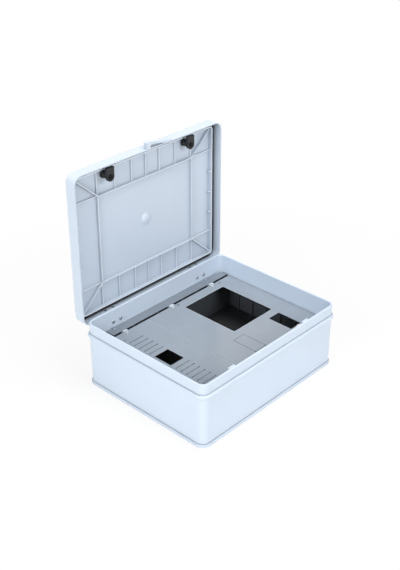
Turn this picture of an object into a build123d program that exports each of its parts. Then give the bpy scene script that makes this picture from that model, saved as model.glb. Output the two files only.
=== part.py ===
"""Electric meter box lying on its back with its lid open, all sizes in mm.

The origin is the centre of the box's back face.
+Z points out of the box's front, +X from the hinge side to the lock side.
+Y points up when the box hangs on a wall.
The lid is built in the open pose, standing at 90 degrees to the box.
"""

import os
from math import atan2, degrees

from build123d import *

os.makedirs("parts", exist_ok=True)

# Box shell, sized from the photograph with an 18 mm module pitch as the scale cue
BOX_WIDTH = 400.0
BOX_LENGTH = 500.0
BOX_DEPTH = 180.0
BOX_WALL = 4.5
BOX_FLOOR = 4.0
BOX_CORNER_R = 20.0
BOX_RIM_FILLET = 1.2
FLANGE_PROUD = 3.0
FLANGE_HEIGHT = 8.0
FLANGE_FILLET = 2.0
BEAD_PROUD = 5.5
BEAD_DROP = 40.5
BEAD_Z = BOX_DEPTH - BEAD_DROP
BEAD_HEIGHT = 11.5
BEAD_FILLET = 5.4
INNER_X = BOX_WIDTH / 2 - BOX_WALL
INNER_Y = BOX_LENGTH / 2 - BOX_WALL
INNER_R = BOX_CORNER_R - BOX_WALL

# Wall fixing holes in the back
FIXING_INSET_X = 22.0
FIXING_PITCH_X = BOX_WIDTH - 2 * FIXING_INSET_X
FIXING_INSET_Y = 35.0
FIXING_PITCH_Y = BOX_LENGTH - 2 * FIXING_INSET_Y
FIXING_HOLE_R = 3.25
FIXING_BOSS_R = 9.0
FIXING_BOSS_HEIGHT = 4.0

# Lid, in its own closed coordinates: x and y as the box, z out of the front
LID_CLEARANCE = 0.8
LID_WALL = 3.0
LID_PANEL = 3.0
LID_RISE = 10.0
LID_FRONT_Z = BOX_DEPTH + LID_RISE
LID_SKIRT = 33.5
LID_EDGE_Z = LID_FRONT_Z - LID_SKIRT
LID_FRONT_FILLET = 5.0
LID_INNER_X = BOX_WIDTH / 2 + LID_CLEARANCE
LID_INNER_Y = BOX_LENGTH / 2 + LID_CLEARANCE
LID_INNER_R = BOX_CORNER_R + LID_CLEARANCE
LID_OUTER_X = LID_INNER_X + LID_WALL
LID_OUTER_Y = LID_INNER_Y + LID_WALL
LID_OUTER_R = LID_INNER_R + LID_WALL
LID_PANEL_Z = LID_FRONT_Z - LID_PANEL

# Gasket and the groove that holds it
GASKET_THICK = 4.0
GASKET_FACE_Z = BOX_DEPTH + 0.3
GASKET_SEAT_Z = GASKET_FACE_Z + GASKET_THICK
GASKET_SIDE_GAP = 0.5
GROOVE_INSET = 11.8
GROOVE_X = LID_INNER_X - GROOVE_INSET
GROOVE_Y = LID_INNER_Y - GROOVE_INSET
GROOVE_R = LID_INNER_R - GROOVE_INSET
GROOVE_WALL = 3.0
GROOVE_HEIGHT = 12.0
GROOVE_CREST_Z = LID_PANEL_Z - GROOVE_HEIGHT

# Stiffening ribs inside the lid
RIB_THICK = 2.4
FRAME_BORDER_X = 80.0
FRAME_RIB_X = BOX_WIDTH / 2 - FRAME_BORDER_X
FRAME_BORDER_Y = 86.4
FRAME_RIB_Y = BOX_LENGTH / 2 - FRAME_BORDER_Y
FRAME_RIB_HEIGHT = 7.0
FRAME_CREST_Z = LID_PANEL_Z - FRAME_RIB_HEIGHT
MITRE_END_GAP_X = 7.5
MITRE_END_X = GROOVE_X - MITRE_END_GAP_X
MITRE_END_GAP_Y = 7.0
MITRE_END_Y = GROOVE_Y - MITRE_END_GAP_Y
MITRE_RIB_HEIGHT = 8.0
MITRE_CREST_Z = LID_PANEL_Z - MITRE_RIB_HEIGHT
LOW_RIB_HEIGHT = 4.0
LOW_CREST_Z = LID_PANEL_Z - LOW_RIB_HEIGHT
LOW_RIB_END_INSET = 145.0
LOW_RIB_END_Y = BOX_LENGTH / 2 - LOW_RIB_END_INSET
LOW_RIB_STEP = 57.0
LOW_RIB_MID_Y = LOW_RIB_END_Y - LOW_RIB_STEP
LOW_RIB_YS = (-LOW_RIB_END_Y, -LOW_RIB_MID_Y, 0.0, LOW_RIB_MID_Y, LOW_RIB_END_Y)
SIDE_RIB_XS = (-FRAME_RIB_X, FRAME_RIB_X)
GUSSET_XS = (-60.0, 0.0, 60.0)
GUSSET_DEEP = 7.0
GUSSET_HEIGHT = 9.0
GUSSET_CREST_Z = LID_PANEL_Z - GUSSET_HEIGHT
DOME_R = 17.0
DOME_HEIGHT = 5.5
RIB_ROOT = 0.5

# Pull grip moulded on the lid's free edge
GRIP_REACH = 16.2
GRIP_BAR = 6.0
GRIP_POST_LOW_Y = -18.0
GRIP_POST_HIGH_Y = -5.0
GRIP_END_Y = 70.0
GRIP_INNER_END_Y = 46.0
GRIP_TIP = 1.5
GRIP_EDGE_GAP = 0.5
GRIP_Z = LID_EDGE_Z + GRIP_EDGE_GAP
GRIP_DEEP = 11.0
GRIP_ROOT = 1.5

# Lid hinges
HINGE_AXIS_PROUD = 7.5
HINGE_AXIS_X = -BOX_WIDTH / 2 - HINGE_AXIS_PROUD
HINGE_AXIS_DROP = 20.5
HINGE_AXIS_Z = BOX_DEPTH - HINGE_AXIS_DROP
HINGE_END_INSETS = (98.5, 88.0)
HINGE_YS = (HINGE_END_INSETS[0] - BOX_LENGTH / 2, BOX_LENGTH / 2 - HINGE_END_INSETS[1])
HINGE_SCREW_PITCH = 25.4
HINGE_PIN_R = 1.5
HINGE_RUN_CLEARANCE = 0.06
HINGE_FIXED_CLEARANCE = 0.03
HINGE_KNUCKLE_R = 3.5
HINGE_HALF_WIDTH = 21.0
HINGE_MID_HALF = 7.0
HINGE_KNUCKLE_GAP = 0.3
HINGE_LEAF = 2.0
HINGE_PIN_HEAD_R = 2.5
HINGE_PIN_HEAD = 1.2
HINGE_PIN_HEAD_GAP = 0.2
BOX_LEAF_LOW = 23.5
BOX_LEAF_LOW_Z = HINGE_AXIS_Z - BOX_LEAF_LOW
LEAF_AXIS_GAP = 4.5
BOX_LEAF_TOP_Z = HINGE_AXIS_Z - LEAF_AXIS_GAP
BOX_LEAF_ARM = 3.0
BOX_LEAF_BLOCK_PROUD = 6.0
BOX_LEAF_BLOCK_X = -BOX_WIDTH / 2 - BOX_LEAF_BLOCK_PROUD
BOX_SCREW_DROP = 15.2
BOX_SCREW_Z = HINGE_AXIS_Z - BOX_SCREW_DROP
LID_LEAF_LOW_Z = HINGE_AXIS_Z + LEAF_AXIS_GAP
LID_LEAF_RISE = 22.5
LID_LEAF_TOP_Z = HINGE_AXIS_Z + LID_LEAF_RISE
LID_LEAF_BLOCK_RISE = 6.5
LID_LEAF_BLOCK_Z = HINGE_AXIS_Z + LID_LEAF_BLOCK_RISE
LID_SCREW_RISE = 16.3
LID_SCREW_Z = HINGE_AXIS_Z + LID_SCREW_RISE
BEAD_GAP_HALF = 22.0
LEAF_HOLE_CLEARANCE = 0.1

# Screws
M5_R = 2.5
M4_R = 2.0
M3_R = 1.5
SHANK_CLEARANCE = 0.15
PAN_HEAD_R = 4.8
PAN_HEAD_HEIGHT = 2.8
SMALL_HEAD_R = 3.8
SMALL_HEAD_HEIGHT = 2.4
PAN_ROUND = 0.45
CSK_HEAD_R = 4.0
CSK_GAP = 0.1
CSK_CLEARANCE = 0.1
CROSS_WIDTH = 1.1
CROSS_DEEP = 1.2
CROSS_REACH = 0.62

# Locks, at the lid's free side
LOCK_INSET = 30.0
LOCK_X = BOX_WIDTH / 2 - LOCK_INSET
LOCK_END_INSET = 111.0
LOCK_YS = (LOCK_END_INSET - BOX_LENGTH / 2, BOX_LENGTH / 2 - LOCK_END_INSET)
LOCK_NAMES = ("lower", "upper")
LOCK_STEM_R = 8.0
LOCK_HOLE_R = 8.2
LOCK_FLANGE_R = 14.0
LOCK_FLANGE = 2.4
LOCK_FLANGE_FILLET = 0.95
LOCK_STEM_LENGTH = 20.0
LOCK_STEM_END_Z = LID_FRONT_Z - LOCK_STEM_LENGTH
LOCK_CORE_R = 5.0
LOCK_CORE_CLEARANCE = 0.08
LOCK_CORE_HEAD_R = 6.5
LOCK_CORE_HEAD_GAP = 0.3
LOCK_CORE_SEAT = 1.0
LOCK_CORE_SEAT_Z = LID_FRONT_Z + LOCK_CORE_SEAT
LOCK_CORE_RISE = 3.6
LOCK_CORE_TOP_Z = LID_FRONT_Z + LOCK_CORE_RISE
LOCK_CORE_FLOAT = 0.1
LOCK_KEY_R = 4.0
LOCK_KEY_DEEP = 1.4
LOCK_NUT_R = 10.5
LOCK_NUT_HEIGHT = 5.0
LOCK_NUT_LOW_Z = LID_PANEL_Z - LOCK_NUT_HEIGHT
LOCK_NUT_CLEARANCE = 0.05
CAM_STEM_GAP = 5.5
CAM_HIGH_Z = LOCK_STEM_END_Z - CAM_STEM_GAP
CAM_THICK = 7.0
CAM_LOW_Z = CAM_HIGH_Z - CAM_THICK
CAM_R = 12.0
CAM_REACH = 24.0
CAM_SQUARE = 6.8
CAM_SQUARE_GAP = 0.1
CAM_END_GAP = 0.2
CAM_SCREW_LENGTH = 8.0
CAM_SCREW_HEAD_R = 5.1
KEEPER_DEEP = 11.0
KEEPER_X = INNER_X - KEEPER_DEEP
KEEPER_LENGTH = 21.0
KEEPER_CAM_GAP = 1.5
KEEPER_LOW_Z = CAM_HIGH_Z + KEEPER_CAM_GAP
KEEPER_HEIGHT = 8.5
KEEPER_HIGH_Z = KEEPER_LOW_Z + KEEPER_HEIGHT

# Inner panels
PANEL_DROP = 53.5
PANEL_TOP_Z = BOX_DEPTH - PANEL_DROP
PANEL_THICK = 3.0
PANEL_LEFT_INSET = 35.5
PANEL_LEFT_X = -INNER_X + PANEL_LEFT_INSET
PANEL_RIGHT_INSET = 13.5
PANEL_RIGHT_X = INNER_X - PANEL_RIGHT_INSET
PANEL_END_GAP = 1.0
PANEL_END_Y = INNER_Y - PANEL_END_GAP
PANEL_LOWER_LENGTH = 169.5
PANEL_SEAM_Y = -PANEL_END_Y + PANEL_LOWER_LENGTH
PANEL_SEAM_GAP = 0.6
PANEL_CORNER_R = 5.0
PANEL_SEAT_GAP = 0.3
PANEL_LOW_Z = PANEL_TOP_Z - PANEL_THICK
SUPPORT_TOP_Z = PANEL_LOW_Z - PANEL_SEAT_GAP
SMALL_CUT_MARGIN = (39.5, 61.2)
SMALL_CUT_SIZE = (73.9, 40.0)
METER_CUT_MARGIN = (29.8, 60.2)
METER_CUT_GAP = 24.4
METER_CUT_HEIGHT = 149.9
BLANK_MARGIN = (39.2, 203.5)
BLANK_SIZE = (73.0, 39.2)
BREAKER_CUT_MARGIN = (136.0, 60.1)
BREAKER_CUT_SIZE = (55.6, 45.3)
SMALL_CUT = (
    PANEL_RIGHT_X - SMALL_CUT_MARGIN[0] - SMALL_CUT_SIZE[0],
    PANEL_RIGHT_X - SMALL_CUT_MARGIN[0],
    PANEL_END_Y - SMALL_CUT_MARGIN[1] - SMALL_CUT_SIZE[1],
    PANEL_END_Y - SMALL_CUT_MARGIN[1],
)
METER_CUT = (
    PANEL_LEFT_X + METER_CUT_MARGIN[0],
    SMALL_CUT[0] - METER_CUT_GAP,
    PANEL_END_Y - METER_CUT_MARGIN[1] - METER_CUT_HEIGHT,
    PANEL_END_Y - METER_CUT_MARGIN[1],
)
BLANK_CUT = (
    PANEL_RIGHT_X - BLANK_MARGIN[0] - BLANK_SIZE[0],
    PANEL_RIGHT_X - BLANK_MARGIN[0],
    PANEL_END_Y - BLANK_MARGIN[1] - BLANK_SIZE[1],
    PANEL_END_Y - BLANK_MARGIN[1],
)
BREAKER_CUT = (
    PANEL_LEFT_X + BREAKER_CUT_MARGIN[0],
    PANEL_LEFT_X + BREAKER_CUT_MARGIN[0] + BREAKER_CUT_SIZE[0],
    -PANEL_END_Y + BREAKER_CUT_MARGIN[1],
    -PANEL_END_Y + BREAKER_CUT_MARGIN[1] + BREAKER_CUT_SIZE[1],
)
CUT_CORNER_R = 1.5
METER_CUT_CORNER_R = 3.5
MODULE_PITCH = 18.0
MODULE_LINE_INSET = 47.2
MODULE_LINE_X = PANEL_LEFT_X + MODULE_LINE_INSET
MODULE_LINES_LEFT = range(0, 5)
MODULE_LINES_RIGHT = range(9, 15)
MODULE_LOW_INSET = 0.4
MODULE_LOW_Y = BREAKER_CUT[2] + MODULE_LOW_INSET
MODULE_HIGH_INSET = 1.3
MODULE_HIGH_Y = BREAKER_CUT[3] - MODULE_HIGH_INSET
MODULE_LINE_WIDTH = 1.3
LINE_WIDTH = 0.9
LINE_DEEP = 0.8
DOT_R = 1.7
EYELET_INSETS = (8.0, 9.0)
EYELET_CLIP_OFFSETS = (19.0, 25.0)
EYELET_R = 3.4
EYELET_HOLE_R = 1.4
EYELET_HEIGHT = 1.6

# Panel hinge strip and hinge clips
STRIP_SIDE_GAP = 0.2
STRIP_LEFT_X = -INNER_X + STRIP_SIDE_GAP
STRIP_PANEL_GAP = 7.0
STRIP_RIGHT_X = PANEL_LEFT_X - STRIP_PANEL_GAP
STRIP_LOW_INSET = 55.5
STRIP_LOW_Y = -INNER_Y + STRIP_LOW_INSET
STRIP_END_GAP = 0.6
STRIP_HIGH_Y = INNER_Y - STRIP_END_GAP
STRIP_RISE = 1.0
STRIP_TOP_Z = PANEL_TOP_Z + STRIP_RISE
STRIP_THICK = 2.0
STRIP_LOW_Z = STRIP_TOP_Z - STRIP_THICK
STRIP_CHAMFER_WIDTH = 14.7
STRIP_CHAMFER_X = STRIP_LEFT_X + STRIP_CHAMFER_WIDTH
STRIP_CHAMFER_LENGTH = 28.3
STRIP_CHAMFER_Y = STRIP_HIGH_Y - STRIP_CHAMFER_LENGTH
STRIP_SCREW_INSET = 5.6
STRIP_SCREW_X = STRIP_LEFT_X + STRIP_SCREW_INSET
STRIP_SCREW_ENDS = (22.0, 66.9)
STRIP_SCREW_YS = (STRIP_LOW_Y + STRIP_SCREW_ENDS[0], STRIP_HIGH_Y - STRIP_SCREW_ENDS[1])
STRIP_BOSS_R = 5.5
STRIP_BOSS_DEPTH = 25.0
STRIP_BORE_DEPTH = 22.0
STRIP_SCREW_DEPTH = 12.5
STRIP_RIB_ENDS = (70.0, 29.9)
STRIP_RIB_MIDDLES = (-30.0, 60.0, 120.0)
STRIP_RIB_YS = (
    STRIP_LOW_Y + STRIP_RIB_ENDS[0],
    *STRIP_RIB_MIDDLES,
    STRIP_HIGH_Y - STRIP_RIB_ENDS[1],
)
STRIP_RIB_GAP = 1.0
STRIP_RIB_X = STRIP_RIGHT_X - STRIP_RIB_GAP
CLIP_AXIS_OUT = 3.5
CLIP_AXIS_X = PANEL_LEFT_X - CLIP_AXIS_OUT
CLIP_AXIS_DROP = 0.5
CLIP_AXIS_Z = PANEL_TOP_Z - CLIP_AXIS_DROP
CLIP_KNUCKLE_R = 3.0
CLIP_PIN_R = 1.5
CLIP_PIN_CLEARANCE = 0.08
CLIP_WIDTH = 10.0
CLIP_PLATE_REACH = 11.0
CLIP_END_X = PANEL_LEFT_X + CLIP_PLATE_REACH
CLIP_PLATE_GAP = 0.05
CLIP_PEG_R = 1.8
CLIP_PEG_CLEARANCE = 0.1
CLIP_PEG_INSET = 6.0
CLIP_PEG_X = PANEL_LEFT_X + CLIP_PEG_INSET
CLIP_PEG_OFFSET = 2.7
CLIP_PEG_HEAD_R = 2.4
CLIP_PEG_HEAD = 0.8
CLIP_PEG_HEAD_GAP = 0.1
CLIP_STUD_R = 3.4
CLIP_STUD_RISE = 8.0
CLIP_STUD_FILLET = 0.8
CLIP_STUD_TOP_Z = PANEL_TOP_Z + CLIP_STUD_RISE
BREAKER_CLIP_INSET = 87.5
BREAKER_CLIP_YS = (-PANEL_END_Y + BREAKER_CLIP_INSET,)
METER_CLIP_INSETS = (232.5, 76.5)
METER_CLIP_YS = tuple(PANEL_END_Y - inset for inset in METER_CLIP_INSETS)
EYELET_POINTS = tuple(
    (PANEL_LEFT_X + inset, y + offset)
    for inset, y, offset in zip(EYELET_INSETS, METER_CLIP_YS, EYELET_CLIP_OFFSETS)
)
EAR_THICK = 2.5
EAR_GAP = 0.3
EAR_DROP = 2.0
EAR_LOW_Z = CLIP_AXIS_Z - EAR_DROP

# Panel fasteners and their catch posts
METER_KNOB_INSET = (26.0, 82.5)
METER_KNOB_POINT = (PANEL_RIGHT_X - METER_KNOB_INSET[0], PANEL_END_Y - METER_KNOB_INSET[1])
BREAKER_KNOB_INSET = (14.0, 84.5)
BREAKER_KNOB_POINT = (
    PANEL_RIGHT_X - BREAKER_KNOB_INSET[0],
    -PANEL_END_Y + BREAKER_KNOB_INSET[1],
)
KNOB_R = 8.5
KNOB_RISE = 9.5
KNOB_TOP_Z = PANEL_TOP_Z + KNOB_RISE
KNOB_GAP = 0.3
KNOB_FILLET = 1.5
KNOB_GRIP_WIDTH = 4.0
KNOB_GRIP_DEEP = 3.0
KNOB_STEM_R = 3.0
KNOB_STEM_CLEARANCE = 0.1
KNOB_BAR_LENGTH = 16.0
KNOB_BAR_WIDTH = 5.0
KNOB_BAR_DROP = 12.0
KNOB_BAR_LOW_Z = PANEL_TOP_Z - KNOB_BAR_DROP
KNOB_BAR_THICK = 3.0
KNOB_BAR_HIGH_Z = KNOB_BAR_LOW_Z + KNOB_BAR_THICK
POST_R = 12.0
POST_BORE_R = 9.5
POST_BORE_DROP = 26.5
POST_BORE_Z = PANEL_TOP_Z - POST_BORE_DROP
POST_PLATE = 4.0
POST_SLOT_LENGTH = 19.0
POST_SLOT_WIDTH = 7.5

# Walls and ribs moulded inside the box
CHANNEL_WALL_INSET = 2.0
CHANNEL_WALL_X = PANEL_LEFT_X + CHANNEL_WALL_INSET
CHANNEL_WALL = 3.0
RIB_WIDTH = 3.0
END_RIB_DEEP = 5.0
END_RIB_XS = (-120.0, -70.0, -20.0, 30.0, 80.0, 130.0)
LOCK_RIB_INSET = 55.5
LOCK_RIB_MIDDLES = (-75.0, 60.0)
LOCK_RIB_YS = (-INNER_Y + LOCK_RIB_INSET, *LOCK_RIB_MIDDLES, INNER_Y - LOCK_RIB_INSET)
LOCK_RIB_DEEP = 25.0

# Mounting board inside the box
BOARD_RISE = 26.0
BOARD_TOP_Z = BOX_FLOOR + BOARD_RISE
BOARD_THICK = 3.0
BOARD_GAP = 0.3
BOARD_LEFT_X = CHANNEL_WALL_X + BOARD_GAP
BOARD_RIGHT_INSET = 55.5
BOARD_RIGHT_X = INNER_X - BOARD_RIGHT_INSET
BOARD_END_Y = INNER_Y - BOARD_GAP
BOARD_LOW_Z = BOARD_TOP_Z - BOARD_THICK
BOARD_SCREW_INSETS = (12.7, 15.0, 20.2)
BOARD_SCREW_SIDE_INSET = 107.2
BOARD_SCREW_MIDDLE = (-10.0, -40.0)
BOARD_SCREW_POINTS = (
    (BOARD_LEFT_X + BOARD_SCREW_INSETS[0], -BOARD_END_Y + BOARD_SCREW_INSETS[2]),
    (BOARD_RIGHT_X - BOARD_SCREW_INSETS[1], -BOARD_END_Y + BOARD_SCREW_INSETS[2]),
    (BOARD_LEFT_X + BOARD_SCREW_INSETS[0], BOARD_END_Y - BOARD_SCREW_SIDE_INSET),
    (BOARD_RIGHT_X - BOARD_SCREW_INSETS[1], BOARD_END_Y - BOARD_SCREW_INSETS[2]),
    BOARD_SCREW_MIDDLE,
)
BOARD_POST_R = 6.0
BOARD_SCREW_DEPTH = 12.0

# DIN rail across the breaker row
RAIL_LOW_INSET = 9.7
RAIL_LOW_X = BOARD_LEFT_X + RAIL_LOW_INSET
RAIL_HIGH_INSET = 4.0
RAIL_HIGH_X = BOARD_RIGHT_X - RAIL_HIGH_INSET
RAIL_INSET = 83.4
RAIL_Y = -BOARD_END_Y + RAIL_INSET
RAIL_RISE = 49.5
RAIL_TOP_Z = BOARD_TOP_Z + RAIL_RISE
RAIL_HALF = 17.5
RAIL_BASE_HALF = 13.5
RAIL_HEIGHT = 7.5
RAIL_STEEL = 1.0
RAIL_POST_INSET = 18.0
RAIL_POST_XS = (RAIL_LOW_X + RAIL_POST_INSET, RAIL_HIGH_X - RAIL_POST_INSET)
RAIL_POST_SIZE = 16.0
RAIL_POST_SIZE_Y = 24.0
RAIL_LOW_Z = RAIL_TOP_Z - RAIL_HEIGHT
RAIL_SCREW_DEPTH = 12.0

# Slotted rails that carry the meter
METER_RAIL_OFFSETS = (14.4, 69.3)
METER_RAIL_YS = (METER_CUT[2] - METER_RAIL_OFFSETS[0], METER_CUT[3] - METER_RAIL_OFFSETS[1])
METER_RAIL_NAMES = ("lower", "upper")
METER_RAIL_OVERHANGS = (9.8, 11.8)
METER_RAIL_LOW_X = METER_CUT[0] - METER_RAIL_OVERHANGS[0]
METER_RAIL_HIGH_X = METER_CUT[1] + METER_RAIL_OVERHANGS[1]
METER_RAIL_WIDTH = 20.0
METER_RAIL_THICK = 1.5
METER_RAIL_CORNER_R = 3.0
METER_RAIL_SLOT_END = 28.0
METER_RAIL_SLOT = METER_RAIL_HIGH_X - METER_RAIL_LOW_X - 2 * METER_RAIL_SLOT_END
METER_RAIL_SLOT_WIDTH = 5.2
METER_BOSS_R = 6.0
METER_BOSS_RISE = 12.0
METER_BOSS_TOP_Z = BOARD_TOP_Z + METER_BOSS_RISE
METER_BOSS_INSET = 10.0

# Neutral and earth bars
BAR_OFFSETS = (43.8, 69.8)
BAR_YS = tuple(RAIL_Y + offset for offset in BAR_OFFSETS)
BAR_NAMES = ("neutral", "earth")
BAR_LENGTH = 94.0
BAR_LOW_X = BOARD_RIGHT_X - RAIL_HIGH_INSET - BAR_LENGTH
BAR_HIGH_X = BOARD_RIGHT_X - RAIL_HIGH_INSET
BAR_WIDTH = 9.0
BAR_HEIGHT = 8.0
BAR_RISE = 16.0
BAR_LOW_Z = BOARD_TOP_Z + BAR_RISE
BAR_HOLES = 7
BAR_PITCH = 10.0
BAR_WIRE_R = 2.2
BAR_WIRE_Z = 3.2
BAR_SCREW_R = 1.8
BAR_SCREW_RISE = 0.8
BAR_SCREW_GAP = 0.1
BAR_SLOT_WIDTH = 0.8
BAR_SLOT_DEEP = 0.8
BAR_HEAD_R = 3.0
BAR_HEAD_HEIGHT = 2.0
BAR_FIXING_DEPTH = 10.0
BAR_END_INSET = 6.0
BAR_POST_SIZE = 10.0

EPS = 0.02


def span(low, high):
    """Return the centre and the length of an interval."""
    return (low + high) / 2, high - low


def block(x_span, y_span, z_span, mode=Mode.ADD):
    """Add or cut a block given by its three spans."""
    x_mid, x_size = span(*x_span)
    y_mid, y_size = span(*y_span)
    z_mid, z_size = span(*z_span)
    with Locations((x_mid, y_mid, z_mid)):
        Box(x_size, y_size, z_size, mode=mode)


def disc(plane, point, radius, length, mode=Mode.ADD):
    """Add or cut a cylinder that starts on a plane and runs along its normal."""
    with BuildSketch(plane) as shape:
        with Locations(point):
            Circle(radius)
    extrude(shape.sketch, amount=length, mode=mode)


def bar(plane, point, size, length, mode=Mode.ADD):
    """Add or cut a rectangular prism that starts on a plane."""
    with BuildSketch(plane) as shape:
        with Locations(point):
            Rectangle(size[0], size[1])
    extrude(shape.sketch, amount=length, mode=mode)


def ring(plane, outer, inner, length, mode=Mode.ADD):
    """Add or cut a rounded rectangular ring; each size is x half, y half, radius."""
    with BuildSketch(plane) as shape:
        RectangleRounded(2 * outer[0], 2 * outer[1], outer[2])
        RectangleRounded(2 * inner[0], 2 * inner[1], inner[2], mode=Mode.SUBTRACT)
    extrude(shape.sketch, amount=length, mode=mode)


def pan_screw(seat, head_r, head_height, shank_r, shank_length):
    """Add a cross-recess pan-head screw standing on a seat plane."""
    with BuildPart(mode=Mode.PRIVATE) as screw:
        disc(seat, (0, 0), head_r, head_height)
        top = screw.faces().sort_by(Axis(seat.origin, seat.z_dir))[-1]
        fillet(top.edges(), radius=head_height * PAN_ROUND)
        disc(seat, (0, 0), shank_r, -shank_length)
        with BuildSketch(seat.offset(head_height)):
            Rectangle(2 * head_r * CROSS_REACH, CROSS_WIDTH)
            Rectangle(CROSS_WIDTH, 2 * head_r * CROSS_REACH)
        extrude(amount=-CROSS_DEEP, mode=Mode.SUBTRACT)
    add(screw.part)


def lid_at(z):
    """Return the lid's sketch plane at a closed-lid height."""
    return lid_plane.offset(z)


def profile_plane(base, y):
    """Return a plane whose x and y are the base's x and z, at a given y."""
    origin = base.origin + base.y_dir * y
    return Plane(origin=origin, x_dir=base.x_dir, z_dir=-base.y_dir)


def face_plane(base, x, y, z, inward):
    """Return a plane on a side wall of the base frame that faces +x or -x."""
    origin = base.origin + base.x_dir * x + base.y_dir * y + base.z_dir * z
    return Plane(origin=origin, x_dir=base.y_dir, z_dir=base.x_dir * inward)


box_plane = Plane.XY
lid_plane = Plane(
    origin=(HINGE_AXIS_X + HINGE_AXIS_Z, 0, HINGE_AXIS_Z - HINGE_AXIS_X),
    x_dir=(0, 0, 1),
    z_dir=(-1, 0, 0),
)
rail_posts = [(x, RAIL_Y) for x in RAIL_POST_XS]
bar_ends = (BAR_LOW_X + BAR_END_INSET, BAR_HIGH_X - BAR_END_INSET)
bar_posts = [(x, y) for x in bar_ends for y in BAR_YS]
meter_rail_ends = (METER_RAIL_LOW_X + METER_BOSS_INSET, METER_RAIL_HIGH_X - METER_BOSS_INSET)
meter_bosses = [(x, y) for x in meter_rail_ends for y in METER_RAIL_YS]
hinge_screw_ys = [
    y + side * HINGE_SCREW_PITCH / 2 for y in HINGE_YS for side in (-1, 1)
]
knuckle_low = HINGE_MID_HALF + HINGE_KNUCKLE_GAP

# Box shell: floor, walls, flange, bead and the wall fixing holes
with BuildPart() as box_shell:
    with BuildSketch():
        RectangleRounded(BOX_WIDTH, BOX_LENGTH, BOX_CORNER_R)
    extrude(amount=BOX_DEPTH)
    with BuildPart(mode=Mode.PRIVATE) as bead:
        with BuildSketch(Plane.XY.offset(BEAD_Z)):
            RectangleRounded(
                BOX_WIDTH + 2 * BEAD_PROUD,
                BOX_LENGTH + 2 * BEAD_PROUD,
                BOX_CORNER_R + BEAD_PROUD,
            )
        extrude(amount=BEAD_HEIGHT)
        fillet(bead.faces().filter_by(Axis.Z).edges(), radius=BEAD_FILLET)
        for y in HINGE_YS:
            block(
                (-BOX_WIDTH / 2 - BEAD_PROUD - 1, -BOX_WIDTH / 2),
                (y - BEAD_GAP_HALF, y + BEAD_GAP_HALF),
                (BEAD_Z - 1, BEAD_Z + BEAD_HEIGHT + 1),
                mode=Mode.SUBTRACT,
            )
    add(bead.part)
    with BuildPart(mode=Mode.PRIVATE) as flange:
        with BuildSketch():
            RectangleRounded(
                BOX_WIDTH + 2 * FLANGE_PROUD,
                BOX_LENGTH + 2 * FLANGE_PROUD,
                BOX_CORNER_R + FLANGE_PROUD,
            )
        extrude(amount=FLANGE_HEIGHT)
        fillet(flange.faces().sort_by(Axis.Z)[-1].edges(), radius=FLANGE_FILLET)
    add(flange.part)
    with BuildSketch(Plane.XY.offset(BOX_FLOOR)):
        RectangleRounded(2 * INNER_X, 2 * INNER_Y, INNER_R)
    extrude(amount=BOX_DEPTH, mode=Mode.SUBTRACT)
    rim = box_shell.faces().filter_by(Axis.Z).sort_by(Axis.Z)[-1]
    fillet(rim.edges(), radius=BOX_RIM_FILLET)
    with BuildSketch(Plane.XY.offset(BOX_FLOOR - 1)):
        with GridLocations(FIXING_PITCH_X, FIXING_PITCH_Y, 2, 2):
            Circle(FIXING_BOSS_R)
    extrude(amount=FIXING_BOSS_HEIGHT + 1)
    with BuildSketch():
        with GridLocations(FIXING_PITCH_X, FIXING_PITCH_Y, 2, 2):
            Circle(FIXING_HOLE_R)
    extrude(amount=BOX_FLOOR + FIXING_BOSS_HEIGHT + 1, mode=Mode.SUBTRACT)
    for y in hinge_screw_ys:
        disc(
            face_plane(box_plane, -INNER_X + 1, y, BOX_SCREW_Z, -1),
            (0, 0),
            M5_R + SHANK_CLEARANCE,
            BOX_WALL + 2,
            mode=Mode.SUBTRACT,
        )
box_shell.part.label = "box_shell"
export_step(box_shell.part, "parts/box_shell.step")

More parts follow.
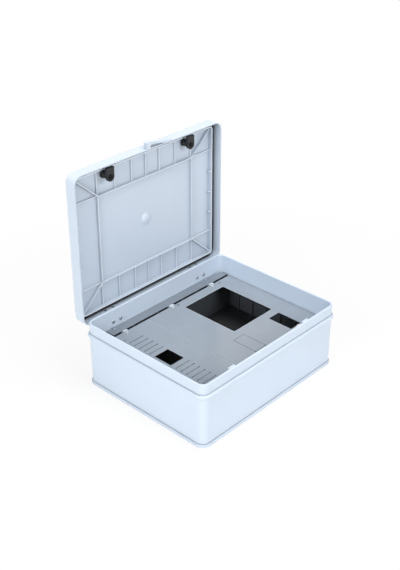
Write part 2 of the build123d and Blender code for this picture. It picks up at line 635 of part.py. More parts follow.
# Ribs, bosses, catch posts and keepers moulded on the inside of the box shell
with BuildPart() as box_ribs:
    for y in LOCK_YS:
        block(
            (KEEPER_X, INNER_X + 1),
            (y - KEEPER_LENGTH / 2, y + KEEPER_LENGTH / 2),
            (KEEPER_LOW_Z, KEEPER_HIGH_Z),
        )
    block(
        (CHANNEL_WALL_X - CHANNEL_WALL, CHANNEL_WALL_X),
        (-INNER_Y - 1, INNER_Y + 1),
        (BOX_FLOOR - 1, SUPPORT_TOP_Z),
    )
    for side in (-1, 1):
        for x in END_RIB_XS:
            wall_y = side * (INNER_Y + 1)
            edge_y = side * (INNER_Y - END_RIB_DEEP)
            block(
                (x - RIB_WIDTH / 2, x + RIB_WIDTH / 2),
                (min(wall_y, edge_y), max(wall_y, edge_y)),
                (BOARD_TOP_Z + RIB_ROOT, SUPPORT_TOP_Z),
            )
    for y in LOCK_RIB_YS:
        block(
            (INNER_X - LOCK_RIB_DEEP, INNER_X + 1),
            (y - RIB_WIDTH / 2, y + RIB_WIDTH / 2),
            (BOX_FLOOR - 1, SUPPORT_TOP_Z),
        )
    for y in STRIP_RIB_YS:
        block(
            (-INNER_X - 1, STRIP_RIB_X),
            (y - RIB_WIDTH / 2, y + RIB_WIDTH / 2),
            (STRIP_LOW_Z - STRIP_BOSS_DEPTH, STRIP_LOW_Z),
        )
    for y in STRIP_SCREW_YS:
        start = Plane.XY.offset(STRIP_LOW_Z)
        disc(start, (STRIP_SCREW_X, y), STRIP_BOSS_R, -STRIP_BOSS_DEPTH)
        block(
            (-INNER_X - 1, STRIP_SCREW_X),
            (y - STRIP_BOSS_R, y + STRIP_BOSS_R),
            (STRIP_LOW_Z - STRIP_BOSS_DEPTH, STRIP_LOW_Z),
        )
        disc(
            start,
            (STRIP_SCREW_X, y),
            M4_R + SHANK_CLEARANCE,
            -STRIP_BORE_DEPTH,
            mode=Mode.SUBTRACT,
        )
    with BuildSketch(Plane.XY.offset(BOX_FLOOR - 1)):
        with Locations(METER_KNOB_POINT, BREAKER_KNOB_POINT):
            Circle(POST_R)
    extrude(amount=SUPPORT_TOP_Z - BOX_FLOOR + 1)
    with BuildSketch(Plane.XY.offset(POST_BORE_Z)):
        with Locations(METER_KNOB_POINT, BREAKER_KNOB_POINT):
            Circle(POST_BORE_R)
    extrude(amount=SUPPORT_TOP_Z - POST_PLATE - POST_BORE_Z, mode=Mode.SUBTRACT)
    with BuildSketch(Plane.XY.offset(POST_BORE_Z + 1)):
        with Locations(METER_KNOB_POINT, BREAKER_KNOB_POINT):
            Rectangle(POST_SLOT_WIDTH, POST_SLOT_LENGTH)
    extrude(amount=SUPPORT_TOP_Z - POST_BORE_Z, mode=Mode.SUBTRACT)
    with BuildSketch(Plane.XY.offset(BOX_FLOOR - 1)):
        with Locations(*BOARD_SCREW_POINTS):
            Circle(BOARD_POST_R)
    extrude(amount=BOARD_LOW_Z - BOX_FLOOR + 1)
    with BuildSketch(Plane.XY.offset(BOARD_LOW_Z)):
        with Locations(*BOARD_SCREW_POINTS):
            Circle(M4_R + SHANK_CLEARANCE)
    extrude(amount=-(BOARD_LOW_Z - BOX_FLOOR - 2), mode=Mode.SUBTRACT)
    add(box_shell.part, mode=Mode.SUBTRACT)
box_ribs.part.label = "box_ribs"
export_step(box_ribs.part, "parts/box_ribs.step")

# Lid shell: front panel, skirt, gasket groove, ribs, dome and pull grip
with BuildPart() as lid_shell:
    with BuildSketch(lid_at(LID_EDGE_Z)):
        RectangleRounded(2 * LID_OUTER_X, 2 * LID_OUTER_Y, LID_OUTER_R)
    extrude(amount=LID_FRONT_Z - LID_EDGE_Z)
    front = lid_shell.faces().sort_by(Axis(lid_plane.origin, lid_plane.z_dir))[-1]
    fillet(front.edges(), radius=LID_FRONT_FILLET)
    with BuildSketch(lid_at(LID_EDGE_Z)):
        RectangleRounded(2 * LID_INNER_X, 2 * LID_INNER_Y, LID_INNER_R)
    extrude(amount=LID_PANEL_Z - LID_EDGE_Z, mode=Mode.SUBTRACT)
    groove_outer = (GROOVE_X, GROOVE_Y, GROOVE_R)
    groove_inner = (GROOVE_X - GROOVE_WALL, GROOVE_Y - GROOVE_WALL, GROOVE_R - GROOVE_WALL)
    ring(
        lid_at(GROOVE_CREST_Z),
        groove_outer,
        groove_inner,
        LID_PANEL_Z - GROOVE_CREST_Z + RIB_ROOT,
    )
    ring(
        lid_at(GASKET_SEAT_Z),
        (LID_INNER_X + RIB_ROOT, LID_INNER_Y + RIB_ROOT, LID_INNER_R + RIB_ROOT),
        (GROOVE_X - RIB_ROOT, GROOVE_Y - RIB_ROOT, GROOVE_R - RIB_ROOT),
        LID_PANEL_Z - GASKET_SEAT_Z + RIB_ROOT,
    )
    frame_outer = (FRAME_RIB_X + RIB_THICK / 2, FRAME_RIB_Y + RIB_THICK / 2, RIB_THICK)
    frame_inner = (FRAME_RIB_X - RIB_THICK / 2, FRAME_RIB_Y - RIB_THICK / 2, RIB_THICK / 2)
    ring(
        lid_at(FRAME_CREST_Z),
        frame_outer,
        frame_inner,
        LID_PANEL_Z - FRAME_CREST_Z + RIB_ROOT,
    )
    for side_x in (-1, 1):
        for side_y in (-1, 1):
            inner_end = Vector(side_x * FRAME_RIB_X, side_y * FRAME_RIB_Y)
            outer_end = Vector(side_x * MITRE_END_X, side_y * MITRE_END_Y)
            run = outer_end - inner_end
            middle = (inner_end + outer_end) / 2
            with BuildSketch(lid_at(MITRE_CREST_Z)):
                with Locations((middle.X, middle.Y)):
                    Rectangle(run.length, RIB_THICK, rotation=degrees(atan2(run.Y, run.X)))
            extrude(amount=LID_PANEL_Z - MITRE_CREST_Z + RIB_ROOT)
    border_mid, border_size = span(FRAME_RIB_X, GROOVE_X - GROOVE_WALL + RIB_ROOT)
    low_rise = LID_PANEL_Z - LOW_CREST_Z + RIB_ROOT
    for side_x in (-1, 1):
        for y in (*LOW_RIB_YS, -FRAME_RIB_Y, FRAME_RIB_Y):
            bar(lid_at(LOW_CREST_Z), (side_x * border_mid, y), (border_size, RIB_THICK), low_rise)
    end_mid, end_size = span(FRAME_RIB_Y, GROOVE_Y - GROOVE_WALL + RIB_ROOT)
    for side_y in (-1, 1):
        for x in SIDE_RIB_XS:
            bar(lid_at(LOW_CREST_Z), (x, side_y * end_mid), (RIB_THICK, end_size), low_rise)
        gusset_mid = side_y * (GROOVE_Y - GROOVE_WALL - GUSSET_DEEP / 2 + RIB_ROOT / 2)
        for x in GUSSET_XS:
            bar(
                lid_at(GUSSET_CREST_Z),
                (x, gusset_mid),
                (RIB_THICK, GUSSET_DEEP + RIB_ROOT),
                LID_PANEL_Z - GUSSET_CREST_Z + RIB_ROOT,
            )
    dome_sphere_r = (DOME_R**2 + DOME_HEIGHT**2) / (2 * DOME_HEIGHT)
    with BuildPart(mode=Mode.PRIVATE) as dome:
        centre = lid_at(LID_PANEL_Z + dome_sphere_r - DOME_HEIGHT)
        with Locations(centre.location):
            Sphere(dome_sphere_r)
        keep = 2 * dome_sphere_r
        with BuildSketch(lid_at(LID_PANEL_Z + RIB_ROOT)):
            Rectangle(2 * keep, 2 * keep)
        extrude(amount=2 * keep, mode=Mode.SUBTRACT)
    add(dome.part)
    with BuildSketch(lid_at(GRIP_Z)):
        with BuildLine():
            Polyline(
                (LID_OUTER_X - GRIP_ROOT, GRIP_POST_LOW_Y),
                (LID_OUTER_X + GRIP_REACH, GRIP_POST_LOW_Y),
                (LID_OUTER_X + GRIP_REACH, GRIP_POST_HIGH_Y),
                (LID_OUTER_X + GRIP_TIP, GRIP_END_Y),
                (LID_OUTER_X - GRIP_ROOT, GRIP_END_Y),
                close=True,
            )
        make_face()
        with BuildLine():
            Polyline(
                (LID_OUTER_X, GRIP_POST_HIGH_Y),
                (LID_OUTER_X + GRIP_REACH - GRIP_BAR, GRIP_POST_HIGH_Y),
                (LID_OUTER_X, GRIP_INNER_END_Y),
                close=True,
            )
        make_face(mode=Mode.SUBTRACT)
    extrude(amount=GRIP_DEEP)
    for y in LOCK_YS:
        disc(
            lid_at(LID_PANEL_Z - 1),
            (LOCK_X, y),
            LOCK_HOLE_R,
            LID_PANEL + 2,
            mode=Mode.SUBTRACT,
        )
    for y in hinge_screw_ys:
        seat = face_plane(lid_plane, -LID_INNER_X, y, LID_SCREW_Z, 1)
        disc(
            seat.offset(1),
            (0, 0),
            M4_R + CSK_CLEARANCE,
            -(LID_WALL + 2),
            mode=Mode.SUBTRACT,
        )
        with BuildSketch(seat):
            Circle(CSK_HEAD_R + CSK_CLEARANCE)
        with BuildSketch(seat.offset(-(CSK_HEAD_R - M4_R))):
            Circle(M4_R + CSK_CLEARANCE)
        loft(mode=Mode.SUBTRACT)
lid_shell.part.label = "lid_shell"
export_step(lid_shell.part, "parts/lid_shell.step")

# Gasket in the lid's groove
with BuildPart() as lid_gasket:
    ring(
        lid_at(GASKET_FACE_Z),
        (
            LID_INNER_X - GASKET_SIDE_GAP,
            LID_INNER_Y - GASKET_SIDE_GAP,
            LID_INNER_R - GASKET_SIDE_GAP,
        ),
        (
            GROOVE_X + GASKET_SIDE_GAP,
            GROOVE_Y + GASKET_SIDE_GAP,
            GROOVE_R + GASKET_SIDE_GAP,
        ),
        GASKET_THICK,
    )
lid_gasket.part.label = "lid_gasket"
export_step(lid_gasket.part, "parts/lid_gasket.step")

# Hinge leaves screwed to the box wall
with BuildPart() as box_hinge_leaves:
    for hinge_y in HINGE_YS:
        block(
            (-BOX_WIDTH / 2 - HINGE_LEAF, -BOX_WIDTH / 2),
            (hinge_y - HINGE_HALF_WIDTH, hinge_y + HINGE_HALF_WIDTH),
            (BOX_LEAF_LOW_Z, BOX_LEAF_TOP_Z),
        )
        for side in (-1, 1):
            near_y = hinge_y + side * knuckle_low
            far_y = hinge_y + side * HINGE_HALF_WIDTH
            with BuildSketch(profile_plane(box_plane, max(near_y, far_y))):
                with Locations((HINGE_AXIS_X, HINGE_AXIS_Z)):
                    Circle(HINGE_KNUCKLE_R)
                block_x = HINGE_AXIS_X - HINGE_KNUCKLE_R
                low_z = BOX_LEAF_TOP_Z - BOX_LEAF_ARM
                with Locations(((block_x + BOX_LEAF_BLOCK_X) / 2, (low_z + HINGE_AXIS_Z) / 2)):
                    Rectangle(BOX_LEAF_BLOCK_X - block_x, HINGE_AXIS_Z - low_z)
                with Locations(((block_x - BOX_WIDTH / 2) / 2, low_z + BOX_LEAF_ARM / 2)):
                    Rectangle(-BOX_WIDTH / 2 - block_x, BOX_LEAF_ARM)
                with Locations((HINGE_AXIS_X, HINGE_AXIS_Z)):
                    Circle(HINGE_PIN_R + HINGE_FIXED_CLEARANCE, mode=Mode.SUBTRACT)
            extrude(amount=abs(far_y - near_y))
    for y in hinge_screw_ys:
        disc(
            face_plane(box_plane, -BOX_WIDTH / 2 + 1, y, BOX_SCREW_Z, -1),
            (0, 0),
            M5_R + LEAF_HOLE_CLEARANCE,
            HINGE_LEAF + 2,
            mode=Mode.SUBTRACT,
        )
box_hinge_leaves.part.label = "box_hinge_leaves"
export_step(box_hinge_leaves.part, "parts/box_hinge_leaves.step")

# Hinge leaves screwed to the lid's skirt
with BuildPart() as lid_hinge_leaves:
    for hinge_y in HINGE_YS:
        with BuildSketch(profile_plane(lid_plane, hinge_y)):
            leaf_z, leaf_size = span(LID_LEAF_LOW_Z, LID_LEAF_TOP_Z)
            with Locations((-LID_OUTER_X - HINGE_LEAF / 2, leaf_z)):
                Rectangle(HINGE_LEAF, leaf_size)
        extrude(amount=HINGE_HALF_WIDTH, both=True)
        with BuildSketch(profile_plane(lid_plane, hinge_y)):
            with Locations((HINGE_AXIS_X, HINGE_AXIS_Z)):
                Circle(HINGE_KNUCKLE_R)
            block_x = HINGE_AXIS_X - HINGE_KNUCKLE_R
            mid_z, size_z = span(HINGE_AXIS_Z, LID_LEAF_BLOCK_Z)
            with Locations(((block_x - LID_OUTER_X) / 2, mid_z)):
                Rectangle(-LID_OUTER_X - block_x, size_z)
            with Locations((HINGE_AXIS_X, HINGE_AXIS_Z)):
                Circle(HINGE_PIN_R + HINGE_RUN_CLEARANCE, mode=Mode.SUBTRACT)
        extrude(amount=HINGE_MID_HALF, both=True)
    for y in hinge_screw_ys:
        disc(
            face_plane(lid_plane, -LID_OUTER_X + 1, y, LID_SCREW_Z, -1),
            (0, 0),
            M4_R + LEAF_HOLE_CLEARANCE,
            HINGE_LEAF + 2,
            mode=Mode.SUBTRACT,
        )
lid_hinge_leaves.part.label = "lid_hinge_leaves"
export_step(lid_hinge_leaves.part, "parts/lid_hinge_leaves.step")

# Hinge pins with a small head at each end
with BuildPart() as hinge_pins:
    for hinge_y in HINGE_YS:
        half = HINGE_HALF_WIDTH + HINGE_PIN_HEAD_GAP
        with BuildSketch(profile_plane(box_plane, hinge_y)):
            with Locations((HINGE_AXIS_X, HINGE_AXIS_Z)):
                Circle(HINGE_PIN_R)
        extrude(amount=half + EPS, both=True)
        for side in (-1, 1):
            start = hinge_y + side * half + max(side, 0) * HINGE_PIN_HEAD
            with BuildSketch(profile_plane(box_plane, start)):
                with Locations((HINGE_AXIS_X, HINGE_AXIS_Z)):
                    Circle(HINGE_PIN_HEAD_R)
            extrude(amount=HINGE_PIN_HEAD)
hinge_pins.part.label = "hinge_pins"
export_step(hinge_pins.part, "parts/hinge_pins.step")

# Pan-head screws that hold the box leaves, heads inside the box
with BuildPart() as box_hinge_screws:
    for y in hinge_screw_ys:
        pan_screw(
            face_plane(box_plane, -INNER_X, y, BOX_SCREW_Z, 1),
            PAN_HEAD_R,
            PAN_HEAD_HEIGHT,
            M5_R,
            BOX_WALL + HINGE_LEAF,
        )
box_hinge_screws.part.label = "box_hinge_screws"
export_step(box_hinge_screws.part, "parts/box_hinge_screws.step")

# Countersunk screws that hold the lid leaves, heads flush inside the skirt
with BuildPart() as lid_hinge_screws:
    for y in hinge_screw_ys:
        seat = face_plane(lid_plane, -LID_INNER_X - CSK_GAP, y, LID_SCREW_Z, 1)
        with BuildPart(mode=Mode.PRIVATE) as screw:
            disc(seat, (0, 0), M4_R, -(LID_WALL + HINGE_LEAF - CSK_GAP))
            with BuildSketch(seat):
                Circle(CSK_HEAD_R)
            with BuildSketch(seat.offset(-(CSK_HEAD_R - M4_R))):
                Circle(M4_R)
            loft()
            with BuildSketch(seat):
                Rectangle(2 * CSK_HEAD_R * CROSS_REACH, CROSS_WIDTH)
                Rectangle(CROSS_WIDTH, 2 * CSK_HEAD_R * CROSS_REACH)
            extrude(amount=-CROSS_DEEP, mode=Mode.SUBTRACT)
        add(screw.part)
lid_hinge_screws.part.label = "lid_hinge_screws"
export_step(lid_hinge_screws.part, "parts/lid_hinge_screws.step")

# Strip that carries the panel hinges, with ears beside each clip
with BuildPart() as panel_hinge_strip:
    with BuildSketch(Plane.XY.offset(STRIP_LOW_Z)):
        with BuildLine():
            Polyline(
                (STRIP_LEFT_X, STRIP_LOW_Y),
                (STRIP_RIGHT_X, STRIP_LOW_Y),
                (STRIP_RIGHT_X, STRIP_HIGH_Y),
                (STRIP_CHAMFER_X, STRIP_HIGH_Y),
                (STRIP_LEFT_X, STRIP_CHAMFER_Y),
                close=True,
            )
        make_face()
        with Locations(*[(STRIP_SCREW_X, y) for y in STRIP_SCREW_YS]):
            Circle(M4_R + SHANK_CLEARANCE, mode=Mode.SUBTRACT)
    extrude(amount=STRIP_THICK)
    for clip_y in (*BREAKER_CLIP_YS, *METER_CLIP_YS):
        for side in (-1, 1):
            near_y = clip_y + side * (CLIP_WIDTH / 2 + EAR_GAP)
            far_y = near_y + side * EAR_THICK
            with BuildSketch(profile_plane(box_plane, max(near_y, far_y))):
                with Locations((CLIP_AXIS_X, CLIP_AXIS_Z)):
                    Circle(CLIP_KNUCKLE_R)
                ear_x, ear_size = span(STRIP_RIGHT_X - 1, CLIP_AXIS_X)
                ear_z, ear_height = span(EAR_LOW_Z, STRIP_TOP_Z)
                with Locations((ear_x, ear_z)):
                    Rectangle(ear_size, ear_height)
                with Locations((CLIP_AXIS_X, CLIP_AXIS_Z)):
                    Circle(CLIP_PIN_R + CLIP_PIN_CLEARANCE, mode=Mode.SUBTRACT)
            extrude(amount=EAR_THICK)
panel_hinge_strip.part.label = "panel_hinge_strip"
export_step(panel_hinge_strip.part, "parts/panel_hinge_strip.step")

# Screws that hold the strip
with BuildPart() as strip_screws:
    for y in STRIP_SCREW_YS:
        pan_screw(
            Plane(origin=(STRIP_SCREW_X, y, STRIP_TOP_Z)),
            SMALL_HEAD_R,
            SMALL_HEAD_HEIGHT,
            M4_R,
            STRIP_THICK + STRIP_SCREW_DEPTH,
        )
strip_screws.part.label = "strip_screws"
export_step(strip_screws.part, "parts/strip_screws.step")


def panel_blank(low_y, high_y):
    """Add a plain panel that spans the inside of the box between two y values."""
    block((PANEL_LEFT_X, PANEL_RIGHT_X), (low_y, high_y), (PANEL_LOW_Z, PANEL_TOP_Z))


def cut_window(window, corner_r=CUT_CORNER_R):
    """Cut a rounded window through the panel."""
    x_mid, x_size = span(window[0], window[1])
    y_mid, y_size = span(window[2], window[3])
    with BuildSketch(Plane.XY.offset(PANEL_LOW_Z - 1)) as shape:
        with Locations((x_mid, y_mid)):
            RectangleRounded(x_size, y_size, corner_r)
    extrude(shape.sketch, amount=PANEL_THICK + 2, mode=Mode.SUBTRACT)


def cut_peg_holes(clip_ys):
    """Cut the peg holes of the hinge clips."""
    points = [(CLIP_PEG_X, y + side * CLIP_PEG_OFFSET) for y in clip_ys for side in (-1, 1)]
    with BuildSketch(Plane.XY.offset(PANEL_LOW_Z - 1)) as shape:
        with Locations(*points):
            Circle(CLIP_PEG_R + CLIP_PEG_CLEARANCE)
    extrude(shape.sketch, amount=PANEL_THICK + 2, mode=Mode.SUBTRACT)


def cut_stem_hole(point):
    """Cut the hole that a fastener's stem turns in."""
    disc(
        Plane.XY.offset(PANEL_LOW_Z - 1),
        point,
        KNOB_STEM_R + KNOB_STEM_CLEARANCE,
        PANEL_THICK + 2,
        mode=Mode.SUBTRACT,
    )


# Lower inner panel, over the breakers
with BuildPart() as breaker_panel:
    panel_blank(-PANEL_END_Y, PANEL_SEAM_Y - PANEL_SEAM_GAP / 2)
    corner = breaker_panel.edges().filter_by(Axis.Z).sort_by(Axis.X)[-2:].sort_by(Axis.Y)[0]
    fillet(corner, radius=PANEL_CORNER_R)
    cut_window(BREAKER_CUT)
    line_xs = [MODULE_LINE_X + MODULE_PITCH * k for k in MODULE_LINES_LEFT]
    line_xs += [MODULE_LINE_X + MODULE_PITCH * k for k in MODULE_LINES_RIGHT]
    line_mid, line_size = span(MODULE_LOW_Y, MODULE_HIGH_Y)
    with BuildSketch(Plane.XY.offset(PANEL_TOP_Z)):
        with Locations(*[(x, line_mid) for x in line_xs]):
            Rectangle(MODULE_LINE_WIDTH, line_size)
    extrude(amount=-LINE_DEEP, mode=Mode.SUBTRACT)
    with BuildSketch(Plane.XY.offset(PANEL_TOP_Z)):
        with Locations(*[(x, y) for x in line_xs for y in (MODULE_LOW_Y, MODULE_HIGH_Y)]):
            Circle(DOT_R)
        with Locations((MODULE_LINE_X - MODULE_PITCH, MODULE_LOW_Y)):
            Circle(DOT_R)
    extrude(amount=-PANEL_THICK, mode=Mode.SUBTRACT)
    cut_peg_holes(BREAKER_CLIP_YS)
    cut_stem_hole(BREAKER_KNOB_POINT)
breaker_panel.part.label = "breaker_panel"
export_step(breaker_panel.part, "parts/breaker_panel.step")

# Upper inner panel, over the meter
with BuildPart() as meter_panel:
    panel_blank(PANEL_SEAM_Y + PANEL_SEAM_GAP / 2, PANEL_END_Y)
    corner = meter_panel.edges().filter_by(Axis.Z).sort_by(Axis.X)[-2:].sort_by(Axis.Y)[-1]
    fillet(corner, radius=PANEL_CORNER_R)
    cut_window(METER_CUT, METER_CUT_CORNER_R)
    cut_window(SMALL_CUT)
    blank_x, blank_size_x = span(BLANK_CUT[0], BLANK_CUT[1])
    blank_y, blank_size_y = span(BLANK_CUT[2], BLANK_CUT[3])
    with BuildSketch(Plane.XY.offset(PANEL_TOP_Z)):
        with Locations((blank_x, blank_y)):
            Rectangle(blank_size_x + LINE_WIDTH, blank_size_y + LINE_WIDTH)
            Rectangle(blank_size_x - LINE_WIDTH, blank_size_y - LINE_WIDTH, mode=Mode.SUBTRACT)
    extrude(amount=-LINE_DEEP, mode=Mode.SUBTRACT)
    with BuildSketch(Plane.XY.offset(PANEL_TOP_Z)):
        with Locations((BLANK_CUT[1], BLANK_CUT[2]), (BLANK_CUT[1], BLANK_CUT[3])):
            Circle(DOT_R)
    extrude(amount=-PANEL_THICK, mode=Mode.SUBTRACT)
    with BuildSketch(Plane.XY.offset(PANEL_TOP_Z)):
        with Locations(*EYELET_POINTS):
            Circle(EYELET_R)
    extrude(amount=EYELET_HEIGHT)
    with BuildSketch(Plane.XY.offset(PANEL_LOW_Z - 1)):
        with Locations(*EYELET_POINTS):
            Circle(EYELET_HOLE_R)
    extrude(amount=PANEL_THICK + EYELET_HEIGHT + 2, mode=Mode.SUBTRACT)
    cut_peg_holes(METER_CLIP_YS)
    cut_stem_hole(METER_KNOB_POINT)
meter_panel.part.label = "meter_panel"
export_step(meter_panel.part, "parts/meter_panel.step")


def hinge_clip(clip_y):
    """Add one panel hinge clip with its knuckle, stub pins, stud and staked pegs."""
    with BuildPart(mode=Mode.PRIVATE) as clip:
        reach = CLIP_WIDTH / 2
        with BuildSketch(profile_plane(box_plane, clip_y)):
            with Locations((CLIP_AXIS_X, CLIP_AXIS_Z)):
                Circle(CLIP_KNUCKLE_R)
        extrude(amount=reach, both=True)
        with BuildSketch(profile_plane(box_plane, clip_y)):
            with Locations((CLIP_AXIS_X, CLIP_AXIS_Z)):
                Circle(CLIP_PIN_R)
        extrude(amount=reach + EAR_GAP + EAR_THICK, both=True)
        plate_low = PANEL_TOP_Z + CLIP_PLATE_GAP
        plate_top = CLIP_AXIS_Z + CLIP_KNUCKLE_R
        plate_x, plate_size = span(CLIP_AXIS_X, CLIP_END_X - reach)
        with BuildSketch(Plane.XY.offset(plate_low)):
            with Locations((plate_x, clip_y)):
                Rectangle(plate_size, CLIP_WIDTH)
            with Locations((CLIP_END_X - reach, clip_y)):
                Circle(reach)
        extrude(amount=plate_top - plate_low)
        with BuildSketch(Plane.XY.offset(plate_low)):
            with Locations((CLIP_END_X - reach, clip_y)):
                Circle(CLIP_STUD_R)
        extrude(amount=CLIP_STUD_TOP_Z - plate_low)
        crown = clip.edges().group_by(Axis.Z)[-1]
        fillet(crown, radius=CLIP_STUD_FILLET)
        points = [(CLIP_PEG_X, clip_y + side * CLIP_PEG_OFFSET) for side in (-1, 1)]
        peg_end = PANEL_LOW_Z - CLIP_PEG_HEAD_GAP - CLIP_PEG_HEAD
        with BuildSketch(Plane.XY.offset(peg_end)):
            with Locations(*points):
                Circle(CLIP_PEG_R)
        extrude(amount=plate_low - peg_end + RIB_ROOT)
        with BuildSketch(Plane.XY.offset(peg_end)):
            with Locations(*points):
                Circle(CLIP_PEG_HEAD_R)
        extrude(amount=CLIP_PEG_HEAD)
    add(clip.part)


# Hinge clips of the two inner panels
with BuildPart() as breaker_panel_clip:
    for y in BREAKER_CLIP_YS:
        hinge_clip(y)
breaker_panel_clip.part.label = "breaker_panel_clip"
export_step(breaker_panel_clip.part, "parts/breaker_panel_clip.step")

with BuildPart() as meter_panel_clips:
    for y in METER_CLIP_YS:
        hinge_clip(y)
meter_panel_clips.part.label = "meter_panel_clips"
export_step(meter_panel_clips.part, "parts/meter_panel_clips.step")


def turn_knob(point):
    """Add one quarter-turn panel fastener at rest, its bar along Y."""
    disc(Plane.XY.offset(PANEL_TOP_Z + KNOB_GAP), point, KNOB_R, KNOB_TOP_Z - PANEL_TOP_Z - KNOB_GAP)


# Quarter-turn fasteners of the two inner panels
for knob_name, knob_point in (
    ("breaker_panel_fastener", BREAKER_KNOB_POINT),
    ("meter_panel_fastener", METER_KNOB_POINT),
):
    with BuildPart() as fastener:
        turn_knob(knob_point)
        fillet(fastener.faces().sort_by(Axis.Z)[-1].edges(), radius=KNOB_FILLET)
        for side in (-1, 1):
            bar(
                Plane.XY.offset(KNOB_TOP_Z),
                (knob_point[0] + side * (KNOB_GRIP_WIDTH / 2 + KNOB_R / 2), knob_point[1]),
                (KNOB_R, 2 * KNOB_R + 1),
                -KNOB_GRIP_DEEP,
                mode=Mode.SUBTRACT,
            )
        disc(
            Plane.XY.offset(KNOB_BAR_LOW_Z),
            knob_point,
            KNOB_STEM_R,
            PANEL_TOP_Z + KNOB_GAP - KNOB_BAR_LOW_Z + RIB_ROOT,
        )
        bar(
            Plane.XY.offset(KNOB_BAR_LOW_Z),
            knob_point,
            (KNOB_BAR_WIDTH, KNOB_BAR_LENGTH),
            KNOB_BAR_HIGH_Z - KNOB_BAR_LOW_Z,
        )
    fastener.part.label = knob_name
    export_step(fastener.part, f"parts/{knob_name}.step")

# Mounting board with its moulded posts for the rail, the meter and the bars
with BuildPart() as mounting_board:
    block(
        (BOARD_LEFT_X, BOARD_RIGHT_X),
        (-BOARD_END_Y, BOARD_END_Y),
        (BOARD_LOW_Z, BOARD_TOP_Z),
    )
    with BuildSketch(Plane.XY.offset(BOARD_LOW_Z + RIB_ROOT)):
        with Locations(*rail_posts):
            Rectangle(RAIL_POST_SIZE, RAIL_POST_SIZE_Y)
    extrude(amount=RAIL_LOW_Z - BOARD_LOW_Z - RIB_ROOT)
    with BuildSketch(Plane.XY.offset(BOARD_LOW_Z + RIB_ROOT)):
        with Locations(*meter_bosses):
            Circle(METER_BOSS_R)
    extrude(amount=METER_BOSS_TOP_Z - BOARD_LOW_Z - RIB_ROOT)
    with BuildSketch(Plane.XY.offset(BOARD_LOW_Z + RIB_ROOT)):
        with Locations(*bar_posts):
            Rectangle(BAR_POST_SIZE, BAR_POST_SIZE)
    extrude(amount=BAR_LOW_Z - BOARD_LOW_Z - RIB_ROOT)
    with BuildSketch(Plane.XY.offset(BOARD_LOW_Z - 1)):
        with Locations(*BOARD_SCREW_POINTS):
            Circle(M4_R + SHANK_CLEARANCE)
    extrude(amount=BOARD_THICK + 2, mode=Mode.SUBTRACT)
    with BuildSketch(Plane.XY.offset(RAIL_LOW_Z)):
        with Locations(*rail_posts):
            Circle(M4_R + SHANK_CLEARANCE)
    extrude(amount=-RAIL_SCREW_DEPTH - 1, mode=Mode.SUBTRACT)
    with BuildSketch(Plane.XY.offset(METER_BOSS_TOP_Z)):
        with Locations(*meter_bosses):
            Circle(M4_R + SHANK_CLEARANCE)
    extrude(amount=-(METER_BOSS_TOP_Z - BOARD_LOW_Z - 1), mode=Mode.SUBTRACT)
    with BuildSketch(Plane.XY.offset(BAR_LOW_Z)):
        with Locations(*bar_posts):
            Circle(M3_R + SHANK_CLEARANCE)
    extrude(amount=-(BAR_LOW_Z - BOARD_LOW_Z - 1), mode=Mode.SUBTRACT)
mounting_board.part.label = "mounting_board"
export_step(mounting_board.part, "parts/mounting_board.step")

# Screws that hold the board to the box
with BuildPart() as board_screws:
    for point in BOARD_SCREW_POINTS:
        pan_screw(
            Plane(origin=(*point, BOARD_TOP_Z)),
            SMALL_HEAD_R,
            SMALL_HEAD_HEIGHT,
            M4_R,
            BOARD_THICK + BOARD_SCREW_DEPTH,
        )
board_screws.part.label = "board_screws"
export_step(board_screws.part, "parts/board_screws.step")

# DIN rail, a top-hat section run along X
with BuildPart() as din_rail:
    section = Plane(origin=(RAIL_LOW_X, RAIL_Y, RAIL_LOW_Z), x_dir=(0, 1, 0), z_dir=(1, 0, 0))
    with BuildSketch(section):
        base_mid = RAIL_STEEL / 2
        with Locations((0, base_mid)):
            Rectangle(2 * RAIL_BASE_HALF, RAIL_STEEL)
        for side in (-1, 1):
            with Locations((side * (RAIL_BASE_HALF - RAIL_STEEL / 2), RAIL_HEIGHT / 2)):
                Rectangle(RAIL_STEEL, RAIL_HEIGHT)
            flange_mid, flange_size = span(RAIL_BASE_HALF - RAIL_STEEL, RAIL_HALF)
            with Locations((side * flange_mid, RAIL_HEIGHT - RAIL_STEEL / 2)):
                Rectangle(flange_size, RAIL_STEEL)
    extrude(amount=RAIL_HIGH_X - RAIL_LOW_X)
    with BuildSketch(Plane.XY.offset(RAIL_LOW_Z - 1)):
        with Locations(*rail_posts):
            Circle(M4_R + SHANK_CLEARANCE)
    extrude(amount=RAIL_STEEL + 2, mode=Mode.SUBTRACT)
din_rail.part.label = "din_rail"
export_step(din_rail.part, "parts/din_rail.step")

# Screws that hold the DIN rail
with BuildPart() as rail_screws:
    for point in rail_posts:
        pan_screw(
            Plane(origin=(*point, RAIL_LOW_Z + RAIL_STEEL)),
            SMALL_HEAD_R,
            SMALL_HEAD_HEIGHT,
            M4_R,
            RAIL_STEEL + RAIL_SCREW_DEPTH,
        )
rail_screws.part.label = "rail_screws"
export_step(rail_screws.part, "parts/rail_screws.step")

